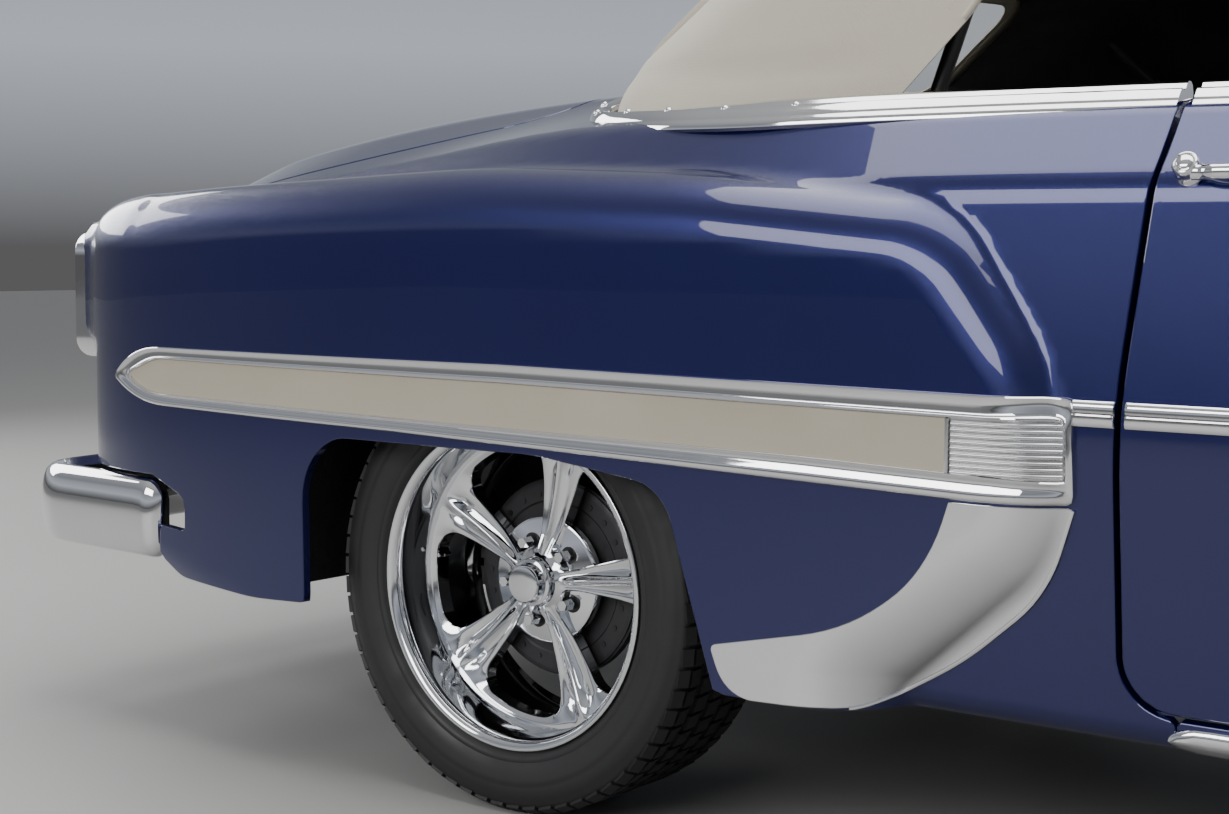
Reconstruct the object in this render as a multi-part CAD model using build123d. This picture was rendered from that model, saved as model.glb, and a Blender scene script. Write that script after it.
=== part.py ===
from build123d import *
from math import cos, pi, radians, sin, sqrt, tan
import os

# A two-door convertible car of the early 1950s with its fabric top raised.
# Millimetres. +X is forward, +Y is the car's left, +Z is up.
# The origin is on the ground, at the middle of the overall length.

# Overall sizes
length = 4966
wheelbase = 2921
rear_overhang = 1225
front_track = 1440
rear_track = 1494
rear_axle_x = -length / 2 + rear_overhang
front_axle_x = rear_axle_x + wheelbase

# Wheels and tyres
tyre_radius = 335
tyre_half = 114
tread_half = 88
tyre_wall = 12
rim_lip_radius = 241.5
rim_half = 103
rim_lip_width = 6
bead_radius = 231
rim_well_radius = 214
rim_well_half = 44
rim_wall = 9
drum_radius = 150
drum_wall = 12
hub_cap_radius = 36
spoke_outer_y = 90
spoke_inner_y = 58
spoke_count = 5
lug_count = 5
lug_circle_radius = 60
lug_radius = 9
stub_radius = 16
stub_clearance = 0.05

# Gaps
shut_gap = 6
panel = 16
seam = 0.3

# Body heights and the cabin
sill_z = 250
floor_z = 320
floor_thick = 12
rail_y = 365
tunnel_half = 95
tunnel_top_z = 408
cabin_half_width = 730
cabin_front_x = 850
door_front_x = 900
door_rear_x = -306
door_bottom_z = 298
seat_back_x = -1120
trunk_front_x = -1330
trunk_half_width = 590
trunk_floor_z = 470
cowl_rear_x = 872
hood_rear_x = 1012
hood_hinge_x = 1009
hood_hinge_z = 1047.5
hood_hinge_y = 300
firewall_x = 1142
wall = 12
cabin_panel_x = 850
footwell_top_z = 770
bay_half_width = 425
bay_front_x = 2215
well_front_inner_y = 437
well_rear_inner_y = 610
deck_half_width = 600
trunk_rear_x = -2230
trunk_wide_x = -1690
top_well_z = 850
hood_front_z = 715
lid_rear_z = 585

# Columns of a body section, for the left half: station x; half width and height of the bulge;
# y, z and radius of the shoulder; y, z and radius of the belt or valley; y and radius of the
# crown's edge; height of the centre line.
BODY_SECTIONS = [
    (-2345, 610, 600, 590, 715, 50, 545, 745, 50, 300, 150, 775),
    (-2310, 645, 600, 625, 775, 55, 565, 830, 55, 318, 165, 893),
    (-2230, 690, 600, 660, 820, 60, 590, 895, 60, 365, 210, 983),
    (-2100, 720, 600, 690, 850, 60, 612, 920, 60, 372, 270, 1016),
    (-1900, 760, 600, 720, 870, 60, 632, 942, 60, 355, 400, 1053),
    (-1600, 800, 600, 765, 893, 60, 662, 972, 60, 350, 400, 1082),
    (-1300, 850, 600, 822, 903, 60, 722, 1000, 60, 345, 400, 1096),
    (-900, 884, 600, 864, 908, 60, 780, 1006, 50, 400, 400, 1090),
    (-280, 894, 600, 876, 908, 60, 800, 1002, 40, 450, 400, 1060),
    (400, 897, 600, 879, 906, 60, 800, 1000, 40, 450, 400, 1045),
    (900, 902, 600, 883, 905, 70, 780, 998, 60, 450, 300, 1050),
    (1250, 917, 600, 894, 918, 100, 660, 972, 80, 450, 200, 1048),
    (1663, 930, 600, 905, 935, 130, 565, 920, 80, 420, 120, 1030),
    (2000, 917, 600, 892, 925, 130, 525, 885, 80, 370, 120, 995),
    (2200, 885, 600, 860, 905, 120, 495, 845, 70, 330, 110, 942),
    (2290, 855, 600, 830, 885, 110, 475, 800, 60, 310, 90, 880),
    (2345, 830, 600, 805, 862, 100, 460, 735, 50, 290, 70, 795),
]
sill_tuck = 48
sill_radius = 40
bulge_radius = 500

# Nose and tail in plan, half outlines as x, y and radius
NOSE_PLAN = [(2338, 300, 700), (2262, 822, 120), (1950, 985, 0)]
TAIL_PLAN = [(-1900, 980, 0), (-2272, 700, 90), (-2334, 400, 500)]
BODY_SIDE = [(2400, 300, 0), (2400, 1400, 0), (-2400, 1400, 0), (-2400, 420, 0), (-1640, 262, 300),
             (-1400, sill_z - 10, 0), (2080, sill_z - 10, 0)]

# Columns of a section of the fabric top, left half: station x; half width low down; y, z and radius
# of the shoulder; y of the crown's edge; height of the centre line.
TOP_SECTIONS = [
    (630, 690, 608, 1432, 40, 300, 1462),
    (400, 705, 640, 1448, 70, 300, 1510),
    (50, 735, 668, 1462, 90, 300, 1548),
    (-300, 744, 676, 1452, 100, 300, 1546),
    (-600, 744, 676, 1425, 110, 300, 1518),
    (-850, 744, 672, 1370, 120, 290, 1455),
    (-1050, 742, 655, 1280, 120, 280, 1352),
    (-1250, 735, 630, 1165, 90, 270, 1222),
    (-1430, 725, 600, 1080, 50, 260, 1118),
]
top_foot_z = 985
top_crown_radius = 900
top_thick = 5
top_edge_gap = 4
WINDOW_CUT = [(-765, 950, 0), (-575, 1148, 120), (-520, 1392, 40), (900, 1412, 0), (900, 950, 0)]
REAR_WINDOW = [(420, 1135, 40), (405, 1290, 40)]
# Bows under the fabric: station x, depth of the bow's outer face under the top's form, height of its ends
BOWS = {400: (7, 1390), 50: (6.4, 1390), -600: (7.4, 1370), -1050: (13.7, 1020)}

# Windscreen: front of the glass at its foot and at its head, middle x, side x, side y
SCREEN_LEVELS = [(1035, 955, 862, 700), (1455, 600, 520, 600)]
SCREEN_WINDOW = [(628, 1068, 50), (545, 1432, 50)]
screen_frame_thick = 28
glass_thick = 6
screen_head_z = 1470

# Columns of a rear fender section: station x; outer y; bottom z and its radius; top z and its radius
FENDER_SECTIONS = [
    (-345, 893, 535, 40, 645, 40),
    (-370, 904, 478, 60, 695, 60),
    (-410, 913, 426, 70, 750, 70),
    (-480, 920, 353, 70, 835, 80),
    (-580, 925, 285, 60, 893, 85),
    (-700, 928, 250, 50, 915, 90),
    (-900, 930, 240, 40, 930, 90),
    (-1250, 930, 240, 40, 943, 90),
    (-1600, 922, 272, 40, 937, 90),
    (-1900, 901, 282, 40, 922, 85),
    (-2020, 885, 318, 40, 913, 80),
    (-2130, 860, 392, 40, 903, 75),
    (-2200, 832, 420, 40, 895, 70),
    (-2255, 795, 438, 40, 884, 60),
    (-2295, 748, 452, 40, 866, 50),
    (-2318, 700, 480, 40, 838, 45),
]
fender_inner_y = 560

# The pod behind each rear fender that carries the tail lamp, as x, inner y, outer y, bottom z, top z
LAMP_POD = [
    (-2100, 690, 850, 645, 880),
    (-2200, 692, 830, 635, 874),
    (-2270, 695, 803, 629, 864),
    (-2326, 700, 781, 628, 856),
]
pod_radius = 37

# Openings in the side, as x, z and radius
REAR_ARCH = [(-1604, 180, 0), (-1611, 542, 100), (-1140, 544, 400), (-922, 517, 75), (-812, 180, 0)]
arch_half = 398
arch_top_z = 622
arch_corner = 150
door_top_rear_x = -277
DOOR_SIDE = [(door_front_x, door_bottom_z, 50), (door_front_x, 1200, 0), (door_top_rear_x, 1200, 0),
             (door_top_rear_x, 925, 700), (door_rear_x, 668, 900), (door_rear_x - 4, door_bottom_z, 62)]

# Cockpit opening in plan, half outline
COCKPIT = [(cowl_rear_x, 735, 60), (-960, 752, 700), (-1350, 640, 190), (-1422, 300, 900)]
# Trunk lid and hood in plan, half outlines
LID_PLAN = [(-1475, 505, 90), (-2120, 585, 200), (-2420, 520, 0)]

# Bumpers in plan, half outlines, and their heights
FRONT_BUMPER = [(2466, 330, 1200), (2385, 872, 150), (2110, 950, 0)]
REAR_BUMPER = [(-1990, 902, 0), (-2388, 872, 140), (-2466, 380, 1100)]
front_bumper_end_x = 2110
rear_bumper_end_x = -1990
front_bumper_z = 420
rear_bumper_z = 374
bumper_half_height = 69
bumper_thick = 42
bumper_end_radius = 26
HOOD_PLAN = [(hood_rear_x, 655, 30), (1663, 560, 900), (2400, 440, 0)]


def rounded_wire(corners, plane):
    """A closed wire through corners of (u, v, radius) on a plane; radius 0 keeps a corner sharp."""
    count = len(corners)
    cuts = []
    for i, (u, v, r) in enumerate(corners):
        point = Vector(u, v)
        if r == 0:
            cuts.append((point, None, point))
            continue
        before = Vector(*corners[i - 1][:2]) - point
        after = Vector(*corners[(i + 1) % count][:2]) - point
        a, b = before.normalized(), after.normalized()
        half = radians(before.get_angle(after) / 2)
        middle = point + (a + b).normalized() * (r / sin(half) - r)
        cuts.append((point + a * (r / tan(half)), middle, point + b * (r / tan(half))))
    edges = []
    for i, (start, middle, end) in enumerate(cuts):
        following = cuts[(i + 1) % count][0]
        if middle is not None:
            edges.append(ThreePointArc(*[plane.from_local_coords(p) for p in (start, middle, end)]))
        if (following - end).length > 1e-6:
            edges.append(Line(plane.from_local_coords(end), plane.from_local_coords(following)))
    return Wire(edges)


def inset(corners, distance):
    """Corners of a closed outline moved inwards by a distance; outwards where it is negative."""
    points = [Vector(u, v) for u, v, r in corners]
    count = len(points)
    area = sum(points[i - 1].X * points[i].Y - points[i].X * points[i - 1].Y for i in range(count))
    turn = 1 if area > 0 else -1
    moved = []
    for i, (u, v, r) in enumerate(corners):
        a = (points[i] - points[i - 1]).normalized()
        b = (points[(i + 1) % count] - points[i]).normalized()
        normal_a = Vector(-a.Y, a.X) * turn
        normal_b = Vector(-b.Y, b.X) * turn
        bisector = normal_a + normal_b
        shift = bisector * (2 * distance / bisector.length ** 2)
        convex = (a.X * b.Y - a.Y * b.X) * turn > 0
        radius = 0 if r == 0 else max(2, r - distance if convex else r + distance)
        moved.append((u + shift.X, v + shift.Y, radius))
    return moved


def mirror_half(half):
    """A half outline (x, y, radius), listed on the +Y side, completed by symmetry."""
    return half + [(x, -y, r) for x, y, r in reversed(half)]


def side_prism(corners, y0, y1):
    """A solid from an outline in x and z, between two values of y."""
    plane = Plane(origin=(0, y0, 0), x_dir=(1, 0, 0), z_dir=(0, -1, 0))
    return extrude(Face(rounded_wire(corners, plane)), amount=y1 - y0, dir=(0, 1, 0))


def plan_prism(corners, z0, z1):
    """A solid from an outline in x and y, between two heights."""
    return extrude(Face(rounded_wire(corners, Plane.XY.offset(z0))), amount=z1 - z0, dir=(0, 0, 1))


def front_prism(corners, x0, x1):
    """A solid from an outline in y and z, between two values of x."""
    plane = Plane(origin=(x0, 0, 0), x_dir=(0, 1, 0), z_dir=(1, 0, 0))
    return extrude(Face(rounded_wire(corners, plane)), amount=x1 - x0, dir=(1, 0, 0))


def block(x0, x1, y0, y1, z0, z1):
    return Pos((x0 + x1) / 2, (y0 + y1) / 2, (z0 + z1) / 2) * Box(x1 - x0, y1 - y0, z1 - z0)


def rounded_block(x0, x1, y0, y1, z0, z1, radius):
    shape = block(x0, x1, y0, y1, z0, z1)
    return fillet(shape.edges(), radius)


def across(x, z, radius, y0, y1):
    """A round bar along y."""
    return Pos(x, (y0 + y1) / 2, z) * Rot(90, 0, 0) * Cylinder(radius, y1 - y0)


def lengthways(y, z, radius, x0, x1):
    return Pos((x0 + x1) / 2, y, z) * Rot(0, 90, 0) * Cylinder(radius, x1 - x0)


def bar(start, end, radius):
    """A round bar between two points."""
    start, end = Vector(*start), Vector(*end)
    plane = Plane(origin=start, z_dir=end - start)
    return extrude(Face(Wire(Edge.make_circle(radius, plane))), amount=(end - start).length)


def pipe(points, radius, bend):
    """A round bar along straight runs joined by arcs."""
    path = FilletPolyline(*points, radius=bend)
    start = path @ 0
    plane = Plane(origin=start, z_dir=path % 0)
    return sweep(Face(Wire(Edge.make_circle(radius, plane))), path=path)


def mirrored(shape):
    return mirror(shape, about=Plane.XZ)


def both(shape):
    return [shape, mirrored(shape)]


def merge(shapes):
    total = shapes[0]
    for shape in shapes[1:]:
        total = total + shape
    return total


def save(name, *shapes):
    solids = [solid for shape in shapes for solid in shape.solids()]
    export_step(Compound(solids), os.path.join("parts", name + ".step"))
    print(name, len(solids), round(sum(s.volume for s in solids) / 1e6, 2), "litres")


def body_section(row, grow):
    """The whole section of the body at one station, moved outwards by grow."""
    x, side_y, side_z, y3, z3, r3, y4, z4, r4, y5, r5, top_z = row
    half = [
        (side_y - sill_tuck, sill_z, sill_radius),
        (side_y, side_z, bulge_radius),
        (y3, z3, r3),
        (y4, z4, r4),
        (y5, top_z, r5),
    ]
    corners = inset(mirror_half_section(half), -grow)
    plane = Plane(origin=(x, 0, 0), x_dir=(0, 1, 0), z_dir=(1, 0, 0))
    return Face(rounded_wire(corners, plane))


def mirror_half_section(half):
    return half + [(-y, z, r) for y, z, r in reversed(half)]


def envelope(grow):
    """The body's outer form, from nose to tail, moved outwards by grow."""
    form = loft([body_section(row, grow) for row in BODY_SECTIONS])
    plan = inset(mirror_half(NOSE_PLAN + TAIL_PLAN), -grow)
    form = form & plan_prism(plan, 0, 1500)
    return form & side_prism(inset(BODY_SIDE, -grow), -1100, 1100)


def rear_fender(grow):
    """The left rear fender, a full form that stands out from the body's side."""
    first, last = FENDER_SECTIONS[0][0], FENDER_SECTIONS[-1][0]
    middle = (first + last) / 2
    stretch = 1 + 2 * grow / (first - last)
    faces = []
    for x, out_y, bottom_z, bottom_r, top_z, top_r in FENDER_SECTIONS:
        corners = [
            (fender_inner_y, bottom_z, 0),
            (out_y, bottom_z, bottom_r),
            (out_y, top_z, top_r),
            (fender_inner_y, top_z, 0),
        ]
        station = middle + (x - middle) * stretch
        plane = Plane(origin=(station, 0, 0), x_dir=(0, 1, 0), z_dir=(1, 0, 0))
        faces.append(Face(rounded_wire(inset(corners, -grow), plane)))
    return loft(faces)


def lamp_pod():
    """The left pod, from inside the fender to the seat of the lamp."""
    faces = []
    for x, y0, y1, z0, z1 in LAMP_POD:
        plane = Plane(origin=(x, 0, 0), x_dir=(0, 1, 0), z_dir=(1, 0, 0))
        corners = [(y0, z0, pod_radius), (y1, z0, pod_radius), (y1, z1, pod_radius), (y0, z1, pod_radius)]
        faces.append(Face(rounded_wire(corners, plane)))
    return loft(faces)


def arch_outline(axle_x, half, top_z, corner, foot_z=120):
    return [(axle_x - half, foot_z, 0), (axle_x - half, top_z, corner),
            (axle_x + half, top_z, corner), (axle_x + half, foot_z, 0)]


def top_form(grow):
    """The closed form of the raised fabric top, before it is hollowed and its windows are cut."""
    faces = []
    for x, foot_y, edge_y, edge_z, edge_r, crown_y, top_z in TOP_SECTIONS:
        half = [(foot_y, top_foot_z - 100, 0), (edge_y, edge_z, edge_r), (crown_y, top_z, top_crown_radius)]
        plane = Plane(origin=(x, 0, 0), x_dir=(0, 1, 0), z_dir=(1, 0, 0))
        faces.append(Face(rounded_wire(inset(mirror_half_section(half), -grow), plane)))
    form = loft(faces)
    plan = inset(mirror_half(COCKPIT), top_edge_gap - grow)
    return form & plan_prism(plan, top_foot_z, 1700)


def screen(front, back, z0, z1):
    """A curved and raked band that follows the windscreen, between two offsets along x."""
    (low_z, low_mid, low_side, low_y), (high_z, high_mid, high_side, high_y) = SCREEN_LEVELS
    faces = []
    for z in (z0, z1):
        t = (z - low_z) / (high_z - low_z)
        mid = low_mid + (high_mid - low_mid) * t
        side = low_side + (high_side - low_side) * t
        y = low_y + (high_y - low_y) * t
        edges = [
            ThreePointArc((side + front, -y, z), (mid + front, 0, z), (side + front, y, z)),
            Line((side + front, y, z), (side + back, y, z)),
            ThreePointArc((side + back, y, z), (mid + back, 0, z), (side + back, -y, z)),
            Line((side + back, -y, z), (side + front, -y, z)),
        ]
        faces.append(Face(Wire(edges)))
    return loft(faces, ruled=True)


def crowned(corners, levels):
    """A solid whose plan outline is inset by a different amount at each height."""
    return loft([Face(rounded_wire(inset(corners, by), Plane.XY.offset(z))) for z, by in levels])


os.makedirs("parts", exist_ok=True)

# The body as one form, and the same form one panel inside
outer = envelope(0)
inner = envelope(-panel)
under_hood = envelope(-panel - shut_gap)
fender = rear_fender(0)
fender_inside = rear_fender(-panel)
pod = lamp_pod()
whole = outer + [fender, mirrored(fender), pod, mirrored(pod)]
hollow = inner + [fender_inside, mirrored(fender_inside)]

# Rooms cut out of it
cabin = block(seat_back_x, cabin_panel_x, -cabin_half_width, cabin_half_width, 0, 1400)
house = side_prism(arch_outline(rear_axle_x, 420, 748, 170), well_rear_inner_y - wall, 1100)
cabin = cabin - house - mirrored(house)
top_well = plan_prism(mirror_half(COCKPIT), top_well_z, 1400)
underbody = block(-2235, seat_back_x, -deck_half_width, deck_half_width, 0, trunk_floor_z - wall)
trunk = block(trunk_rear_x, seat_back_x - wall, -560, 560, trunk_floor_z, 1300)
trunk = trunk - block(-1440, seat_back_x, -600, 600, top_well_z - wall, 1300)
trunk = trunk + block(trunk_rear_x, trunk_wide_x, -1000, 1000, trunk_floor_z, 1300)
trunk = trunk & hollow
rear_room = side_prism(arch_outline(rear_axle_x, 408, 736, 160), well_rear_inner_y, 1100) & hollow
rear_opening = side_prism(REAR_ARCH, well_rear_inner_y, 1100)
front_room = side_prism(arch_outline(front_axle_x, 412, 742, 160), well_front_inner_y, 1100) & inner
front_opening = side_prism(arch_outline(front_axle_x, arch_half, arch_top_z, arch_corner),
                           well_front_inner_y, 1100)
axle_gap = block(rear_axle_x - 408, rear_axle_x + 408, deck_half_width - 10, well_rear_inner_y + 5,
                 0, trunk_floor_z - wall)
wheel_rooms = [rear_room, mirrored(rear_room), rear_opening, mirrored(rear_opening),
               axle_gap, mirrored(axle_gap),
               front_room, mirrored(front_room), front_opening, mirrored(front_opening)]
bay = block(firewall_x, bay_front_x, -bay_half_width, bay_half_width, 0, 1300) & inner
bay_below = block(cabin_panel_x, bay_front_x, -bay_half_width, bay_half_width, 0, floor_z)
foot_half = cabin_half_width - 3 - wall
footwell = block(cabin_panel_x - 1, firewall_x - wall, -foot_half, foot_half, 0, footwell_top_z)
hood_hole = [(hood_rear_x - shut_gap - 2, 661, 30), (1663, 566, 900), (2400, 446, 0)]
hood_zone = plan_prism(mirror_half(hood_hole), hood_front_z - shut_gap, 1300) - under_hood
lid_hole = [(-1469, 511, 90), (-2120, 591, 200), (-2420, 526, 0)]
lid_zone = plan_prism(mirror_half(lid_hole), lid_rear_z - shut_gap, 1300) - under_hood
bumper_notch = side_prism([(-2420, 150, 0), (-2420, 446, 0), (-2266, 448, 0), (-1998, 449, 30),
                           (-1906, 418, 22), (-1906, 362, 6), (-1976, 366, 0), (-1976, 150, 0)], -1100, 1100)
body = whole - ([bumper_notch, cabin, top_well, underbody, trunk, bay, bay_below, footwell, hood_zone, lid_zone]
                + wheel_rooms)

# Outer panels
door_zone = side_prism(DOOR_SIDE, cabin_half_width, 1100)
door_hole = side_prism(inset(DOOR_SIDE, -shut_gap), 100, 1100)
door_left = (whole & door_zone) - top_well
shell = body - door_hole - mirrored(door_hole)
save("door_left", door_left)
save("door_right", mirrored(door_left))

side_rear = block(-2400, seat_back_x, deck_half_width, 1100, 0, 1300)
side_rear = side_rear + block(seat_back_x, door_rear_x + 60, deck_half_width - 10, 1100, 0, 1300)
quarter_left = shell & side_rear
save("quarter_left", quarter_left)
save("quarter_right", mirrored(quarter_left))

deck_zone = block(-2400, seat_back_x, -deck_half_width + seam, deck_half_width - seam, 0, 1300)
rear_deck = shell & deck_zone
save("rear_deck", rear_deck)

# Front end: the nose panel between the lamps, the fenders beside it, the cowl behind
nose_x = 2140
nose_top_half = 548
nose_low_half = 680
nose_step_z = 655
nose_outline = mirror_half_section([(nose_top_half, 1300, 0), (nose_top_half, nose_step_z, 20),
                                    (nose_low_half, nose_step_z - 25, 20), (nose_low_half, 200, 0)])
grille_half = 622
grille_z = 520
grille_height = 200
grille_radius = 92
grille_outline = [(grille_half, grille_z + grille_height / 2, grille_radius),
                  (grille_half, grille_z - grille_height / 2, grille_radius)]
grille_hole = front_prism(mirror_half_section(grille_outline), nose_x - 10, 2400)
lamp_y = 692
lamp_z = 758
lamp_face_x = 2262
lamp_radius = 115
lens_radius = 92
lamp_pocket = lengthways(lamp_y, lamp_z, lamp_radius + 0.5, lamp_face_x, 2400)
front_shell = shell - lamp_pocket - mirrored(lamp_pocket) - grille_hole

fender_zone = block(door_front_x + shut_gap, 2400, bay_half_width, 1100, 0, 1300)
fender_zone = fender_zone - block(0, firewall_x, 0, cabin_half_width - 3 + seam, 0, 1400)
fender_zone = fender_zone - front_prism(nose_outline, nose_x, 2400)
front_fender = front_shell & fender_zone
front_fender = front_fender - block(front_axle_x - 118, front_axle_x + 118, 400, 445, 225, 455)
save("front_fender_left", front_fender)
save("front_fender_right", mirrored(front_fender))

nose_inside = block(nose_x - 1, 2400, -bay_half_width, bay_half_width, 0, 1300) & inner
front_apron = front_shell & front_prism(inset(nose_outline, seam), nose_x, 2400)
arm_holes = [block(nose_x - 10, 2400, side * rail_y - 24, side * rail_y + 24, 348, 396) for side in (-1, 1)]
front_apron = front_apron - ([nose_inside] + arm_holes)
save("front_apron", front_apron)

cowl_zone = block(cabin_panel_x, firewall_x, -cabin_half_width + 3, cabin_half_width - 3, floor_z, 1300)
cowl = (shell & cowl_zone) - block(firewall_x - 40, firewall_x + 10, -tunnel_half + wall, tunnel_half - wall,
                                   0, tunnel_top_z - wall)
knuckle_half = 12
lug_half = 22
for y in (-hood_hinge_y, hood_hinge_y):
    lugs = block(980, hood_hinge_x, y - lug_half, y + lug_half, hood_hinge_z - 20, hood_hinge_z)
    lugs = lugs + across(hood_hinge_x, hood_hinge_z, 7, y - lug_half, y + lug_half)
    cowl = cowl + lugs - across(hood_hinge_x, hood_hinge_z, 12, y - knuckle_half - 0.6, y + knuckle_half + 0.6)
    cowl = cowl + across(hood_hinge_x, hood_hinge_z, 4, y - lug_half, y + lug_half)
save("cowl", cowl)

rocker_zone = block(door_rear_x + 60 + seam, door_front_x + shut_gap - seam, cabin_half_width, 1100,
                    0, door_bottom_z - shut_gap)
rocker = outer & rocker_zone
save("rockers", rocker, mirrored(rocker))

# Hood and trunk lid
skin = outer - inner
hood = skin & plan_prism(mirror_half(HOOD_PLAN), hood_front_z, 1300)
for y in (-hood_hinge_y, hood_hinge_y):
    hood = hood - across(hood_hinge_x, hood_hinge_z, 13, y - lug_half - 0.6, y + lug_half + 0.6)
    ear = across(hood_hinge_x, hood_hinge_z, 7, y - knuckle_half, y + knuckle_half)
    ear = ear + block(hood_hinge_x, hood_hinge_x + 22, y - knuckle_half, y + knuckle_half,
                      hood_hinge_z - 13, hood_hinge_z - 1)
    hood = hood + ear - across(hood_hinge_x, hood_hinge_z, 4 + stub_clearance, y - 40, y + 40)
save("hood", hood)
trunk_lid = skin & plan_prism(mirror_half(LID_PLAN), lid_rear_z, 1300)
save("trunk_lid", trunk_lid)

# Floor, with the tunnel over the propeller shaft
floor_top_z = floor_z + floor_thick
floor = block(seat_back_x, firewall_x - wall, -foot_half, foot_half, floor_z, floor_top_z)
floor = floor + block(seat_back_x, cabin_panel_x, -cabin_half_width, cabin_half_width, floor_z, floor_top_z)
floor = floor + block(seat_back_x, firewall_x - wall, -tunnel_half, tunnel_half, floor_z, tunnel_top_z)
tunnel = block(seat_back_x - 1, firewall_x, -tunnel_half + wall, tunnel_half - wall, 0, tunnel_top_z - wall)
hump = block(seat_back_x - 1, rear_axle_x + 420 + 1, well_rear_inner_y - wall, 800, 0, 400)
floor = floor - [tunnel, hump, mirrored(hump)]
save("floor_pan", floor)

# Ladder frame
engine_bottom_z = 300
spring_y = 512
spring_front_x = -660
spring_rear_x = -1860
tow_hole_radius = 6.5
rail_width = 70
rail_bottom_z = 232
rail_front_x = 2200
rail_rear_x = -2240
rail_inner = rail_y - rail_width / 2
rail_outer = rail_y + rail_width / 2
rail = block(rail_rear_x, rail_front_x, rail_inner, rail_outer, rail_bottom_z, floor_z)
kick_up = [(rear_axle_x - 190, 400, 0), (rear_axle_x - 190, 262, 40),
           (rear_axle_x + 190, 262, 40), (rear_axle_x + 190, 400, 0)]
rail = rail - side_prism(kick_up, 0, 800)
frame = merge(both(rail))
for x in (2160, 1000, 250, -560, -2180):
    frame = frame + block(x - 40, x + 40, -rail_y, rail_y, rail_bottom_z, rail_bottom_z + 50)
frame = frame + block(1390, 1460, -rail_y, rail_y, rail_bottom_z, engine_bottom_z)
for tower in both(block(front_axle_x - 43, front_axle_x + 43, rail_inner, rail_outer, floor_z, 452)):
    frame = frame + tower
for x in (spring_front_x, spring_rear_x - 40):
    frame = frame + merge(both(block(x, x + 40, rail_outer - 5, spring_y + 38, 262, floor_z)))
for x in (780, -180):
    outrigger = block(x - 40, x + 40, rail_outer - 5, cabin_half_width - 20, floor_z - 40, floor_z)
    frame = frame + merge(both(outrigger))
front_closed = mirror_half(FRONT_BUMPER + [(1500, 950, 0)])
rear_closed = mirror_half([(-1500, 902, 0)] + REAR_BUMPER)
front_arm = block(rail_front_x - 60, 2600, rail_y - 20, rail_y + 20, 352, 392)
rear_arm = block(-2600, rail_rear_x + 60, rail_y - 20, rail_y + 20, 352, 392)
front_arm = front_arm & plan_prism(inset(front_closed, bumper_thick + seam), 300, 500)
rear_arm = rear_arm & plan_prism(inset(rear_closed, bumper_thick + seam), 300, 500)
for arm in (front_arm, rear_arm):
    frame = frame + merge(both(arm))
for post in (block(rail_front_x - 60, rail_front_x, rail_y - 30, rail_y + 30, floor_z - 5, 392),
             block(rail_rear_x, rail_rear_x + 60, rail_y - 30, rail_y + 30, floor_z - 5, 392)):
    frame = frame + merge(both(post))
for x in (2160, -2180):
    for y in (-100, 100):
        frame = frame - Pos(x, y, rail_bottom_z) * Cylinder(tow_hole_radius, 200)
save("frame", frame)

# Windscreen and fabric top
top_outside = top_form(0)
top_inside = top_form(-top_thick)
rear_hole = front_prism(mirror_half_section(REAR_WINDOW), -1700, -950)
side_windows = side_prism(WINDOW_CUT, -1000, 1000)
behind_screen = screen(400, -screen_frame_thick / 2 - seam, 1300, 1650)
top_skin = top_outside - top_inside
soft_top = top_skin - [side_windows, rear_hole, behind_screen]
save("soft_top", soft_top)
rear_window = top_skin & front_prism(inset(mirror_half_section(REAR_WINDOW), seam), -1700, -950)
save("rear_window", rear_window)

screen_hole = front_prism(mirror_half_section(SCREEN_WINDOW), 300, 1200)
screen_shape = mirror_half_section([(760, 900, 0), (608, 1446, 40), (300, screen_head_z, 900)])
windscreen_frame = screen(screen_frame_thick / 2, -screen_frame_thick / 2, 960, 1500)
windscreen_frame = (windscreen_frame & front_prism(screen_shape, 300, 1200)) - screen_hole - outer
windscreen_frame = Pos(0, 0, seam) * windscreen_frame
save("windscreen_frame", windscreen_frame)
pane = screen(glass_thick / 2, -glass_thick / 2, 1000, 1500)
pane_hole = front_prism(inset(mirror_half_section(SCREEN_WINDOW), seam), 300, 1200)
save("windscreen_glass", Pos(0, 0, seam) * (pane & pane_hole))

bow_width = 26
bow_depth = 20
rail_radius = 11
pivot_x = -700
pivot_z = 915
top_frame = []
for x, foot_y, edge_y, edge_z, edge_r, crown_y, top_z in TOP_SECTIONS:
    if x in BOWS:
        depth, low_z = BOWS[x]
        half = [(foot_y, 900, 0), (edge_y, edge_z, edge_r), (crown_y, top_z, top_crown_radius)]
        arch = mirror_half_section(half)
        bow = front_prism(inset(arch, depth), x - bow_width / 2, x + bow_width / 2)
        bow = bow - front_prism(inset(arch, depth + bow_depth), x - bow_width, x + bow_width)
        top_frame.append(bow & block(x - 50, x + 50, -900, 900, low_z, 1600))
pivot = across(pivot_x, pivot_z, 12, 682, 800) & plan_prism(inset(mirror_half(COCKPIT), seam), 880, 950)
side_rail = [bar((470, 610, 1404), (-600, 630, 1380), rail_radius),
             bar((-600, 630, 1380), (pivot_x, 690, 900), rail_radius),
             bar((pivot_x + 3, 688, 920), (-1050, 668, 1035), 9),
             block(37, 63, 610, 650, 1388, 1404),
             block(-613, -587, 625, 660, 1374, 1390),
             pivot]
top_frame = merge(top_frame + side_rail + [mirrored(r) for r in side_rail])
save("top_frame", top_frame)

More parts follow.
